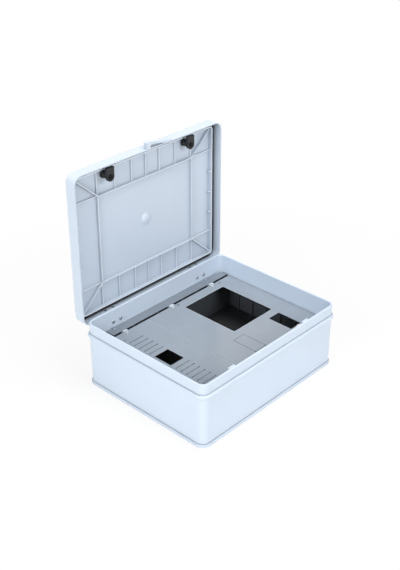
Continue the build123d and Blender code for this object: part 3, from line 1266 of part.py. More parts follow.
# Two slotted rails that carry the meter
rail_mid, rail_size = span(METER_RAIL_LOW_X, METER_RAIL_HIGH_X)
for rail_name, rail_y in zip(METER_RAIL_NAMES, METER_RAIL_YS):
    with BuildPart() as meter_rail:
        with BuildSketch(Plane.XY.offset(METER_BOSS_TOP_Z)):
            with Locations((rail_mid, rail_y)):
                RectangleRounded(rail_size, METER_RAIL_WIDTH, METER_RAIL_CORNER_R)
                SlotOverall(METER_RAIL_SLOT, METER_RAIL_SLOT_WIDTH, mode=Mode.SUBTRACT)
            with Locations(*[(x, rail_y) for x in meter_rail_ends]):
                Circle(M4_R + SHANK_CLEARANCE, mode=Mode.SUBTRACT)
        extrude(amount=METER_RAIL_THICK)
    meter_rail.part.label = f"{rail_name}_meter_rail"
    export_step(meter_rail.part, f"parts/{rail_name}_meter_rail.step")

# Screws that hold the meter rails
with BuildPart() as meter_rail_screws:
    for point in meter_bosses:
        pan_screw(
            Plane(origin=(*point, METER_BOSS_TOP_Z + METER_RAIL_THICK)),
            SMALL_HEAD_R,
            SMALL_HEAD_HEIGHT,
            M4_R,
            METER_RAIL_THICK + METER_BOSS_TOP_Z - BOARD_TOP_Z,
        )
meter_rail_screws.part.label = "meter_rail_screws"
export_step(meter_rail_screws.part, "parts/meter_rail_screws.step")

# Neutral and earth bars
bar_mid, bar_size = span(BAR_LOW_X, BAR_HIGH_X)
wire_xs = [bar_mid + (i - (BAR_HOLES - 1) / 2) * BAR_PITCH for i in range(BAR_HOLES)]
for bar_name, bar_y in zip(BAR_NAMES, BAR_YS):
    with BuildPart() as terminal_bar:
        block(
            (BAR_LOW_X, BAR_HIGH_X),
            (bar_y - BAR_WIDTH / 2, bar_y + BAR_WIDTH / 2),
            (BAR_LOW_Z, BAR_LOW_Z + BAR_HEIGHT),
        )
        with BuildSketch(profile_plane(box_plane, bar_y + BAR_WIDTH)):
            with Locations(*[(x, BAR_LOW_Z + BAR_WIRE_Z) for x in wire_xs]):
                Circle(BAR_WIRE_R)
        extrude(amount=2 * BAR_WIDTH, mode=Mode.SUBTRACT)
        with BuildSketch(Plane.XY.offset(BAR_LOW_Z + BAR_HEIGHT)):
            with Locations(*[(x, bar_y) for x in wire_xs]):
                Circle(BAR_SCREW_R + BAR_SCREW_GAP)
        extrude(amount=-(BAR_HEIGHT - BAR_WIRE_Z), mode=Mode.SUBTRACT)
        with BuildSketch(Plane.XY.offset(BAR_LOW_Z)):
            with Locations(*[(x, bar_y) for x in bar_ends]):
                Circle(M3_R + SHANK_CLEARANCE)
        extrude(amount=BAR_HEIGHT, mode=Mode.SUBTRACT)
    terminal_bar.part.label = f"{bar_name}_bar"
    export_step(terminal_bar.part, f"parts/{bar_name}_bar.step")

# Slotted clamp screws in the bars
with BuildPart() as terminal_screws:
    for bar_y in BAR_YS:
        for x in wire_xs:
            top = Plane(origin=(x, bar_y, BAR_LOW_Z + BAR_HEIGHT + BAR_SCREW_RISE))
            depth = BAR_HEIGHT - BAR_WIRE_Z - BAR_WIRE_R + BAR_SCREW_RISE
            disc(top, (0, 0), BAR_SCREW_R, -depth)
            slot = (2 * BAR_SCREW_R + 1, BAR_SLOT_WIDTH)
            bar(top, (0, 0), slot, -BAR_SLOT_DEEP, mode=Mode.SUBTRACT)
terminal_screws.part.label = "terminal_screws"
export_step(terminal_screws.part, "parts/terminal_screws.step")

# Screws that hold the bars
with BuildPart() as bar_screws:
    for point in bar_posts:
        pan_screw(
            Plane(origin=(*point, BAR_LOW_Z + BAR_HEIGHT)),
            BAR_HEAD_R,
            BAR_HEAD_HEIGHT,
            M3_R,
            BAR_HEIGHT + BAR_FIXING_DEPTH,
        )
bar_screws.part.label = "bar_screws"
export_step(bar_screws.part, "parts/bar_screws.step")

# Locks: body, nut, core, cam and cam screw at each end of the free side
for lock_name, lock_y in zip(LOCK_NAMES, LOCK_YS):
    centre = (LOCK_X, lock_y)
    with BuildPart() as lock_body:
        disc(lid_at(LOCK_STEM_END_Z), centre, LOCK_STEM_R, LID_FRONT_Z - LOCK_STEM_END_Z)
        disc(lid_at(LID_FRONT_Z), centre, LOCK_FLANGE_R, LOCK_FLANGE)
        front = lock_body.faces().sort_by(Axis(lid_plane.origin, lid_plane.z_dir))[-1]
        fillet(front.edges(), radius=LOCK_FLANGE_FILLET)
        disc(
            lid_at(LOCK_STEM_END_Z - 1),
            centre,
            LOCK_CORE_R + LOCK_CORE_CLEARANCE,
            LID_FRONT_Z + LOCK_FLANGE - LOCK_STEM_END_Z + 2,
            mode=Mode.SUBTRACT,
        )
        disc(
            lid_at(LOCK_CORE_SEAT_Z),
            centre,
            LOCK_CORE_HEAD_R + LOCK_CORE_HEAD_GAP,
            LOCK_FLANGE + 1,
            mode=Mode.SUBTRACT,
        )
    lock_body.part.label = f"{lock_name}_lock_body"
    export_step(lock_body.part, f"parts/{lock_name}_lock_body.step")

    with BuildPart() as lock_nut:
        with BuildSketch(lid_at(LOCK_NUT_LOW_Z)):
            with Locations(centre):
                RegularPolygon(LOCK_NUT_R, 8)
                Circle(LOCK_STEM_R + LOCK_NUT_CLEARANCE, mode=Mode.SUBTRACT)
        extrude(amount=LID_PANEL_Z - LOCK_NUT_LOW_Z)
    lock_nut.part.label = f"{lock_name}_lock_nut"
    export_step(lock_nut.part, f"parts/{lock_name}_lock_nut.step")

    with BuildPart() as lock_core:
        shaft_low = CAM_HIGH_Z + EPS
        disc(
            lid_at(shaft_low),
            centre,
            LOCK_CORE_R,
            LOCK_CORE_SEAT_Z + LOCK_CORE_FLOAT - shaft_low + EPS,
        )
        disc(
            lid_at(LOCK_CORE_SEAT_Z + LOCK_CORE_FLOAT),
            centre,
            LOCK_CORE_HEAD_R,
            LOCK_CORE_TOP_Z - LOCK_CORE_SEAT_Z - LOCK_CORE_FLOAT,
        )
        bar(
            lid_at(CAM_LOW_Z + CAM_END_GAP),
            centre,
            (CAM_SQUARE, CAM_SQUARE),
            shaft_low - CAM_LOW_Z - CAM_END_GAP + EPS,
        )
        with BuildSketch(lid_at(LOCK_CORE_TOP_Z)):
            with Locations(centre):
                RegularPolygon(LOCK_KEY_R, 3)
        extrude(amount=-LOCK_KEY_DEEP, mode=Mode.SUBTRACT)
        disc(
            lid_at(CAM_LOW_Z),
            centre,
            M3_R + SHANK_CLEARANCE,
            CAM_SCREW_LENGTH + 1,
            mode=Mode.SUBTRACT,
        )
    lock_core.part.label = f"{lock_name}_lock_core"
    export_step(lock_core.part, f"parts/{lock_name}_lock_core.step")

    with BuildPart() as lock_cam:
        with BuildSketch(lid_at(CAM_LOW_Z)):
            with Locations(centre):
                Circle(CAM_R)
            with Locations((LOCK_X + CAM_REACH / 2, lock_y)):
                Rectangle(CAM_REACH, 2 * CAM_R)
            with Locations(centre):
                Rectangle(
                    CAM_SQUARE + 2 * CAM_SQUARE_GAP,
                    CAM_SQUARE + 2 * CAM_SQUARE_GAP,
                    mode=Mode.SUBTRACT,
                )
        extrude(amount=CAM_HIGH_Z - CAM_LOW_Z)
    lock_cam.part.label = f"{lock_name}_lock_cam"
    export_step(lock_cam.part, f"parts/{lock_name}_lock_cam.step")

    with BuildPart() as cam_screw:
        seat_origin = lid_at(CAM_LOW_Z).origin + lid_plane.x_dir * LOCK_X + lid_plane.y_dir * lock_y
        pan_screw(
            Plane(origin=seat_origin, x_dir=lid_plane.x_dir, z_dir=-lid_plane.z_dir),
            CAM_SCREW_HEAD_R,
            SMALL_HEAD_HEIGHT,
            M3_R,
            CAM_SCREW_LENGTH,
        )
    cam_screw.part.label = f"{lock_name}_cam_screw"
    export_step(cam_screw.part, f"parts/{lock_name}_cam_screw.step")
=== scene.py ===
"""Looks of the electric meter box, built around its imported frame."""
import logging
import math
from dataclasses import dataclass, field
from enum import Enum

import bmesh
import bpy
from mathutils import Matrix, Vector


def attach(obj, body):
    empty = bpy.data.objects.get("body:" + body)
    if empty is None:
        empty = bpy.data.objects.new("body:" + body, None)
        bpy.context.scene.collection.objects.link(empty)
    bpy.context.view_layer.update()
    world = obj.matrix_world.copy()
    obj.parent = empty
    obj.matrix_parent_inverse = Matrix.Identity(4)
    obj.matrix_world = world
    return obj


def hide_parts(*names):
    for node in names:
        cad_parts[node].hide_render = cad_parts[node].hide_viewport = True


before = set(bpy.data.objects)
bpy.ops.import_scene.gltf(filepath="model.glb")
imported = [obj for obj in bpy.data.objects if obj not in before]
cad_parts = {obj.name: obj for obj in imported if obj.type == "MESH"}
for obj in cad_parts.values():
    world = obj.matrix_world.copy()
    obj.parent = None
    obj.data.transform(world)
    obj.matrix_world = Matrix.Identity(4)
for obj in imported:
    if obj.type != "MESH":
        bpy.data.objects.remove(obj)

LOG = logging.getLogger("meter_box")
MM = 0.001
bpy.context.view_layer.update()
Pair = tuple[float, float]
# A path's corner is widened at most by one over this where its sides meet at a sharp angle
MITRE_LIMIT = 0.3
# Grip lobes reach this far in from a turned form's outside, in mm
LOBE_BAND = 1.2
# A zone's edge blends over this share of its corner radius
ZONE_BLEND = 0.03
# A zone's top and bottom are this many times sharper than its upright sides
ZONE_FLATNESS = 40.0


def linear(hex_colour: str) -> tuple[float, float, float, float]:
    """Turn an sRGB hex value into a linear colour.

    Args:
        hex_colour: Six hex digits with a leading hash.

    Returns:
        The linear red, green, blue and an alpha of one.
    """
    channels = [int(hex_colour[i:i + 2], 16) / 255 for i in (1, 3, 5)]
    values = [c / 12.92 if c <= 0.04045 else ((c + 0.055) / 1.055) ** 2.4 for c in channels]
    return values[0], values[1], values[2], 1.0


def add_node(tree: bpy.types.NodeTree, kind: str, links: dict | None = None,
             values: dict | None = None, **settings: object) -> bpy.types.Node:
    """Add a node with its settings, its input values and its input links.

    Args:
        tree: The node tree that takes the node.
        kind: The node's type name.
        links: Input name or index to the output socket that feeds it.
        values: Input name or index to its constant value.
        **settings: Attributes of the node.

    Returns:
        The new node.
    """
    node = tree.nodes.new(kind)
    for name, value in settings.items():
        setattr(node, name, value)
    for key, value in (values or {}).items():
        node.inputs[key].default_value = value
    for key, socket in (links or {}).items():
        tree.links.new(socket, node.inputs[key])
    return node


def start_material(name: str) -> tuple[bpy.types.Material, bpy.types.NodeTree]:
    """Make an empty node material.

    Args:
        name: The material's name.

    Returns:
        The material and its emptied node tree.
    """
    material = bpy.data.materials.new(name)
    material.use_nodes = True
    material.node_tree.nodes.clear()
    return material, material.node_tree


def blend_colours(tree: bpy.types.NodeTree, factor: bpy.types.NodeSocket, first: str,
                  second: str) -> bpy.types.NodeSocket:
    """Blend two hex colours by a factor.

    Args:
        tree: The material's node tree.
        factor: The socket that runs from the first colour to the second.
        first: The first colour.
        second: The second colour.

    Returns:
        The blended colour's socket.
    """
    mix = add_node(tree, "ShaderNodeMix", {"Factor": factor}, data_type="RGBA")
    mix.inputs["A"].default_value = linear(first)
    mix.inputs["B"].default_value = linear(second)
    return mix.outputs["Result"]


class Grain(Enum):
    """How a moulded surface was finished in its mould; the value is the bump's strength."""

    SPARK = 0.10
    POLISHED = 0.02
    MATT = 0.22


@dataclass(frozen=True)
class Zone:
    """A block of space with rounded upright corners, in mm, that takes another colour."""

    low: tuple[float, float, float]
    high: tuple[float, float, float]
    corner: float
    colour: str

    def tint(self, tree: bpy.types.NodeTree, where: bpy.types.NodeSocket,
             below: bpy.types.NodeSocket) -> bpy.types.NodeSocket:
        """Lay the zone's colour over another colour.

        Args:
            tree: The material's node tree.
            where: The position socket.
            below: The colour outside the zone.

        Returns:
            The mixed colour's socket.
        """
        middle = [(a + b) / 2 * MM for a, b in zip(self.low, self.high)]
        half = [(b - a) / 2 * MM for a, b in zip(self.low, self.high)]
        core = (half[0] - self.corner * MM, half[1] - self.corner * MM, half[2])
        operations = (("SUBTRACT", middle), ("ABSOLUTE", None), ("SUBTRACT", core),
                      ("MAXIMUM", (0.0, 0.0, 0.0)), ("MULTIPLY", (1.0, 1.0, ZONE_FLATNESS)))
        socket = where
        for operation, value in operations:
            step = add_node(tree, "ShaderNodeVectorMath", {0: socket},
                            {} if value is None else {1: value}, operation=operation)
            socket = step.outputs[0]
        reach = add_node(tree, "ShaderNodeVectorMath", {0: socket}, operation="LENGTH")
        inside = add_node(tree, "ShaderNodeMapRange", {"Value": reach.outputs["Value"]},
                          {"From Min": self.corner * MM * (1 - ZONE_BLEND),
                           "From Max": self.corner * MM, "To Min": 1.0, "To Max": 0.0})
        mixed = add_node(tree, "ShaderNodeMix",
                         {"Factor": inside.outputs["Result"], "A": below}, data_type="RGBA")
        mixed.inputs["B"].default_value = linear(self.colour)
        return mixed.outputs["Result"]


@dataclass(frozen=True)
class Plastic:
    """An injection-moulded plastic: fine mould grain over a slow shrink ripple."""

    name: str
    colour: str
    shade: str
    roughness: float
    grain: Grain = Grain.SPARK
    grain_mm: float = 0.9
    ripple_mm: float = 55.0
    edge_mm: float = 0.5
    ior: float = 1.53
    crease_mm: float = 3.0
    crease_dark: float = 0.74
    crease_seen: Pair = (0.45, 0.95)
    roughness_spread: Pair = (-0.05, 0.07)
    ripple_strength: float = 0.12
    ripple_deep_mm: float = 0.6
    grain_deep_mm: float = 0.05
    zones: tuple[Zone, ...] = ()

    def build(self) -> bpy.types.Material:
        """Build the material.

        Returns:
            The node material.
        """
        material, tree = start_material(self.name)
        where = add_node(tree, "ShaderNodeTexCoord").outputs["Object"]
        flow = add_node(tree, "ShaderNodeTexNoise", {"Vector": where},
                        {"Scale": 1 / (self.ripple_mm * MM), "Detail": 3.0, "Roughness": 0.5})
        colour = blend_colours(tree, flow.outputs["Fac"], self.colour, self.shade)
        for zone in self.zones:
            colour = zone.tint(tree, where, colour)
        # Real spark grain is near 0.05 mm; it is drawn at 0.9 mm so that a render shows it
        grain = add_node(tree, "ShaderNodeTexNoise", {"Vector": where},
                         {"Scale": 1 / (self.grain_mm * MM), "Detail": 2.0, "Roughness": 0.6})
        wander = add_node(tree, "ShaderNodeMapRange", {"Value": grain.outputs["Fac"]},
                          {"To Min": self.roughness + self.roughness_spread[0],
                           "To Max": self.roughness + self.roughness_spread[1]})
        # Painted shade: lamps alone leave inside corners paler than the photograph; this darkens
        # them
        crease = add_node(tree, "ShaderNodeAmbientOcclusion",
                          values={"Distance": self.crease_mm * MM}, samples=6, only_local=True)
        crease_painted_shade = add_node(tree, "ShaderNodeMapRange", {"Value": crease.outputs["AO"]},
                        {"From Min": self.crease_seen[0], "From Max": self.crease_seen[1],
                         "To Min": self.crease_dark, "To Max": 1.0})
        grey = add_node(tree, "ShaderNodeCombineColor",
                        {0: crease_painted_shade.outputs["Result"], 1: crease_painted_shade.outputs["Result"],
                         2: crease_painted_shade.outputs["Result"]})
        shaded = add_node(tree, "ShaderNodeMix", {"A": colour, "B": grey.outputs["Color"]},
                          {"Factor": 1.0}, data_type="RGBA", blend_type="MULTIPLY")
        edge = add_node(tree, "ShaderNodeBevel", values={"Radius": self.edge_mm * MM}, samples=4)
        wave = add_node(tree, "ShaderNodeBump",
                        {"Height": flow.outputs["Fac"], "Normal": edge.outputs["Normal"]},
                        {"Strength": self.ripple_strength,
                         "Distance": self.ripple_deep_mm * MM})
        bump = add_node(tree, "ShaderNodeBump",
                        {"Height": grain.outputs["Fac"], "Normal": wave.outputs["Normal"]},
                        {"Strength": self.grain.value, "Distance": self.grain_deep_mm * MM})
        shader = add_node(tree, "ShaderNodeBsdfPrincipled",
                          {"Base Color": shaded.outputs["Result"],
                           "Roughness": wander.outputs["Result"],
                           "Normal": bump.outputs["Normal"]},
                          {"IOR": self.ior})
        add_node(tree, "ShaderNodeOutputMaterial", {"Surface": shader.outputs["BSDF"]})
        return material


@dataclass(frozen=True)
class Metal:
    """A metal part: drawn, plated or coated, with fine lines and a slow stain."""

    name: str
    colour: str
    stain: str
    roughness: float
    line_mm: float = 0.35
    stretch: float = 12.0
    edge_mm: float = 0.25
    metallic: float = 1.0
    cloud_mm: float = 9.0
    roughness_spread: Pair = (-0.06, 0.10)
    line_strength: float = 0.1
    line_deep_mm: float = 0.03

    def build(self) -> bpy.types.Material:
        """Build the material.

        Returns:
            The node material.
        """
        material, tree = start_material(self.name)
        where = add_node(tree, "ShaderNodeTexCoord").outputs["Object"]
        cloud = add_node(tree, "ShaderNodeTexNoise", {"Vector": where},
                         {"Scale": 1 / (self.cloud_mm * MM), "Detail": 4.0})
        colour = blend_colours(tree, cloud.outputs["Fac"], self.colour, self.stain)
        pulled = add_node(tree, "ShaderNodeMapping", {"Vector": where},
                          {"Scale": (1.0, 1.0 / self.stretch, 1.0)})
        lines = add_node(tree, "ShaderNodeTexNoise", {"Vector": pulled.outputs["Vector"]},
                         {"Scale": 1 / (self.line_mm * MM), "Detail": 2.0})
        wander = add_node(tree, "ShaderNodeMapRange", {"Value": lines.outputs["Fac"]},
                          {"To Min": self.roughness + self.roughness_spread[0],
                           "To Max": self.roughness + self.roughness_spread[1]})
        edge = add_node(tree, "ShaderNodeBevel", values={"Radius": self.edge_mm * MM}, samples=4)
        bump = add_node(tree, "ShaderNodeBump",
                        {"Height": lines.outputs["Fac"], "Normal": edge.outputs["Normal"]},
                        {"Strength": self.line_strength, "Distance": self.line_deep_mm * MM})
        shader = add_node(tree, "ShaderNodeBsdfPrincipled",
                          {"Base Color": colour,
                           "Roughness": wander.outputs["Result"],
                           "Normal": bump.outputs["Normal"]},
                          {"Metallic": self.metallic})
        add_node(tree, "ShaderNodeOutputMaterial", {"Surface": shader.outputs["BSDF"]})
        return material


@dataclass(frozen=True)
class Rubber:
    """A foamed rubber cord with open cells on its skin."""

    name: str
    colour: str
    bloom: str
    roughness: float = 0.85
    ior: float = 1.52
    cell_mm: float = 1.6
    cell_strength: float = 0.3
    cell_deep_mm: float = 0.1

    def build(self) -> bpy.types.Material:
        """Build the material.

        Returns:
            The node material.
        """
        material, tree = start_material(self.name)
        where = add_node(tree, "ShaderNodeTexCoord").outputs["Object"]
        # Real cells are near 0.3 mm; they are drawn at 1.6 mm so that a render shows them
        cells = add_node(tree, "ShaderNodeTexVoronoi", {"Vector": where},
                         {"Scale": 1 / (self.cell_mm * MM)})
        colour = blend_colours(tree, cells.outputs["Distance"], self.colour, self.bloom)
        bump = add_node(tree, "ShaderNodeBump", {"Height": cells.outputs["Distance"]},
                        {"Strength": self.cell_strength, "Distance": self.cell_deep_mm * MM})
        shader = add_node(tree, "ShaderNodeBsdfPrincipled",
                          {"Base Color": colour, "Normal": bump.outputs["Normal"]},
                          {"Roughness": self.roughness, "IOR": self.ior})
        add_node(tree, "ShaderNodeOutputMaterial", {"Surface": shader.outputs["BSDF"]})
        return material


# The windows show a near black inside. The moulding is one colour, so this dark tone of the
# skin below the covers is shade matched to the photograph, not a finish of its own
INNER_SKIN = Zone((-196.5, -246.5, 2.0), (196.5, 246.5, 122.5), 16.5, "#4A4E53")
# Painted shade: cut edges, break-out lines and holes of the covers read as dark lines in the
# photograph, where shade falls in them. They are darkened to match, by height below the polished
# top
CUT_EDGE_SHADE = Zone((-175.0, -255.0, 123.6), (195.0, 255.0, 126.3), 1.0, "#222428")

# Moulded ABS of the box and lid: pale blue-white, satin, every face softly bright
# It carries strong painted shade in its inside corners and painted dark shade below the covers
SHELL = Plastic("moulded ABS shell", "#D6E3F2", "#D2DFEE", 0.34, crease_mm=5.0,
                crease_dark=0.3, zones=(INNER_SKIN,))
# The lid is the same plastic; its tone and wide soft shade are matched to the photograph
LID = Plastic("moulded ABS lid", "#D4E0EE", "#D0DCEA", 0.34, crease_mm=30.0, crease_dark=0.76)
# Painted highlight: rib crests read paler than the tray in the photograph; the tone is matched
CREST_HIGHLIGHT = Plastic("moulded ABS rib crest", "#EDF4FB", "#E8F0F8", 0.3, crease_dark=0.95)
# Polished moulded ABS of the inner covers: a darker grey with a sharper gloss
COVER = Plastic("polished moulded ABS cover", "#98A1AB", "#8E97A1", 0.16, Grain.POLISHED,
                zones=(CUT_EDGE_SHADE,))
# The hinge strip is taken as the same plastic; its darker tone is painted shade, matched to the
# photograph
STRIP = Plastic("polished moulded ABS strip", "#828B95", "#79828C", 0.2, Grain.POLISHED)
# Seam and window show thin light lines: paler, duller lips give them, and the rubbing that
# the name speaks of is a guess. The paler tone is a painted highlight of these edges, not
# a rubbed finish
LIP = Plastic("moulded ABS lip with painted highlight", "#B9C3CD", "#B0BBC6", 0.45)
# The hidden board is taken as filled polypropylene, dull; its near black is painted shade of the
# inside
BOARD = Plastic("filled polypropylene board", "#1B1D1F", "#17191B", 0.6, Grain.MATT)
# Moulded nylon of the clips and knobs: near white, slightly waxy
NYLON = Plastic("moulded nylon clip", "#D3DAE1", "#CCD4DC", 0.42, Grain.MATT, edge_mm=0.4)
# Glass-filled nylon of the lock nuts: black and dull
NUT = Plastic("glass-filled nylon nut", "#17181A", "#1E1F22", 0.5, Grain.MATT)
# Black powder coat over a zinc casting: a little sheen, soft edges
CASTING = Metal("powder-coated zinc casting", "#131416", "#1B1C1F", 0.42, metallic=0.0)
# Black-oxide steel of the cam screws: dark with a dull metal glint
BLACKED = Metal("black-oxide steel", "#2A2B2E", "#1F2023", 0.38)
# Bright zinc plate over steel: pale, slightly blue, fine drawn lines
ZINC = Metal("zinc-plated steel", "#BFC4CA", "#A4AAB2", 0.28)
# Drawn brass of the terminal bars: warm, with lines along the bar
BRASS = Metal("drawn brass bar", "#C8A45A", "#B08D48", 0.3)
# Foamed rubber cord in the lid's groove: deep black, no gloss
GASKET = Rubber("foamed rubber gasket", "#060607", "#101113")

Finish = Plastic | Metal | Rubber
BUILT: dict[str, bpy.types.Material] = {}


def material_of(finish: Finish) -> bpy.types.Material:
    """Return a finish's material, built once.

    Args:
        finish: The finish.

    Returns:
        Its material.
    """
    if finish.name not in BUILT:
        BUILT[finish.name] = finish.build()
    return BUILT[finish.name]


def dress(finish: Finish, *nodes: str) -> None:
    """Give frame nodes a finish.

    Args:
        finish: The finish.
        *nodes: The nodes' names.
    """
    for name in nodes:
        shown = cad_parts[name]
        shown.data.materials.clear()
        shown.data.materials.append(material_of(finish))
    LOG.info("%s: %d nodes", finish.name, len(nodes))


@dataclass(frozen=True)
class Place:
    """A point and the directions of a sub-assembly's own x, y and z, in mm."""

    origin: tuple[float, float, float] = (0.0, 0.0, 0.0)
    x_dir: tuple[float, float, float] = (1.0, 0.0, 0.0)
    y_dir: tuple[float, float, float] = (0.0, 1.0, 0.0)
    z_dir: tuple[float, float, float] = (0.0, 0.0, 1.0)

    def at(self, x: float, y: float, z: float) -> Vector:
        """Return a point of this place in scene metres.

        Args:
            x: Along the place's x, in mm.
            y: Along its y, in mm.
            z: Along its z, in mm.

        Returns:
            The point in metres.
        """
        point = (Vector(self.origin) + Vector(self.x_dir) * x + Vector(self.y_dir) * y
                 + Vector(self.z_dir) * z)
        return point * MM


# Closed-lid coordinates as they stand in space while the lid is open
OPEN_LID = Place((-48.0, 0.0, 367.0), (0.0, 0.0, 1.0), (0.0, 1.0, 0.0), (-1.0, 0.0, 0.0))
AS_BOX = Place()


class Mould:
    """A mesh that swept and turned forms are added to before it becomes a piece."""

    def __init__(self, place: Place) -> None:
        """Start an empty mesh in a place."""
        self.place = place
        self.mesh = bmesh.new()

    def join(self, rings: list[list[bmesh.types.BMVert]], closed: bool) -> None:
        """Join rings of points with faces.

        Args:
            rings: Rings with the same number of points.
            closed: Whether the last ring meets the first.
        """
        size = len(rings[0])
        for i in range(len(rings) if closed else len(rings) - 1):
            a, b = rings[i], rings[(i + 1) % len(rings)]
            for j in range(size):
                k = (j + 1) % size
                self.mesh.faces.new((a[j], a[k], b[k], b[j]))
        if not closed:
            self.mesh.faces.new(rings[0])
            self.mesh.faces.new(rings[-1])

    def sweep(self, path: list[Pair], profile: list[Pair], closed: bool) -> None:
        """Sweep a profile along a flat path.

        Args:
            path: Points in mm.
            profile: Pairs of sideways offset and height, in mm.
            closed: Whether the path is a loop.
        """
        rings = []
        count = len(path)
        for i, point in enumerate(path):
            here = Vector(point)
            back = Vector(path[(i - 1) % count]) if closed or i > 0 else None
            ahead = Vector(path[(i + 1) % count]) if closed or i < count - 1 else None
            first = (here - back).normalized() if back else (ahead - here).normalized()
            last = (ahead - here).normalized() if ahead else first
            along = (first + last).normalized()
            side = Vector((along.y, -along.x)) / max(MITRE_LIMIT, along.dot(first))
            rings.append([self.mesh.verts.new(self.place.at(here.x + side.x * u,
                                                            here.y + side.y * u, v))
                          for u, v in profile])
        self.join(rings, closed)

    def turn(self, centre: Pair, profile: list[Pair], steps: int = 40, lobes: int = 0,
             lobe_depth: float = 0.0) -> None:
        """Turn a closed profile around an axis along the place's z.

        Args:
            centre: The axis's x and y in mm.
            profile: Pairs of radius and height in mm.
            steps: Steps around the axis.
            lobes: Number of grip lobes around the outside.
            lobe_depth: Their depth in mm.
        """
        rings = []
        outer = max(r for r, _ in profile)
        for i in range(steps):
            angle = 2 * math.pi * i / steps
            ripple = lobe_depth * (0.5 - 0.5 * math.cos(lobes * angle)) if lobes else 0.0
            ring = []
            for r, z in profile:
                radius = r - ripple if r > outer - LOBE_BAND else r
                ring.append(self.mesh.verts.new(self.place.at(
                    centre[0] + radius * math.cos(angle),
                    centre[1] + radius * math.sin(angle), z)))
            rings.append(ring)
        self.join(rings, True)

    def finish(self, name: str, finish: Finish, body: str, slot: str,
               smooth_deg: float = 35.0) -> bpy.types.Object:
        """Turn the mesh into a dressed piece that rides on a body.

        Args:
            name: The piece's name.
            finish: Its finish.
            body: The body that it rides on.
            slot: The material slot's name; it is not used.
            smooth_deg: Edges below this angle are shaded smooth.

        Returns:
            The new object.
        """
        bmesh.ops.recalc_face_normals(self.mesh, faces=self.mesh.faces)
        limit = math.radians(smooth_deg)
        for face in self.mesh.faces:
            face.smooth = True
        for edge in self.mesh.edges:
            edge.smooth = len(edge.link_faces) == 2 and edge.calc_face_angle(0.0) < limit
        data = bpy.data.meshes.new(name)
        self.mesh.to_mesh(data)
        self.mesh.free()
        data.materials.append(material_of(finish))
        piece = bpy.data.objects.new(name, data)
        bpy.context.scene.collection.objects.link(piece)
        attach(piece, body)
        LOG.info("piece %s on %s: %d faces", name, body, len(data.polygons))
        return piece


def rounded_loop(half_x: float, half_y: float, radius: float, steps: int = 8) -> list[Pair]:
    """Return a rounded rectangle's points.

    Args:
        half_x: Half its x size in mm.
        half_y: Half its y size in mm.
        radius: Its corner radius in mm.
        steps: Steps in each corner.

    Returns:
        The loop's points in order.
    """
    points = []
    for sign_x, sign_y, turn in ((1, 1, 0.0), (-1, 1, 0.5), (-1, -1, 1.0), (1, -1, 1.5)):
        for i in range(steps + 1):
            angle = math.pi * (turn + 0.5 * i / steps)
            points.append((sign_x * (half_x - radius) + radius * math.cos(angle),
                           sign_y * (half_y - radius) + radius * math.sin(angle)))
    return points


@dataclass
class BoxBody:
    """The box shell with its ribs, hinges and screws."""

    def dress(self) -> None:
        """Dress the box's own nodes."""
        dress(SHELL, "box_shell", "box_ribs")
        dress(ZINC, "box_hinge_leaves", "hinge_pins", "box_hinge_screws", "strip_screws")


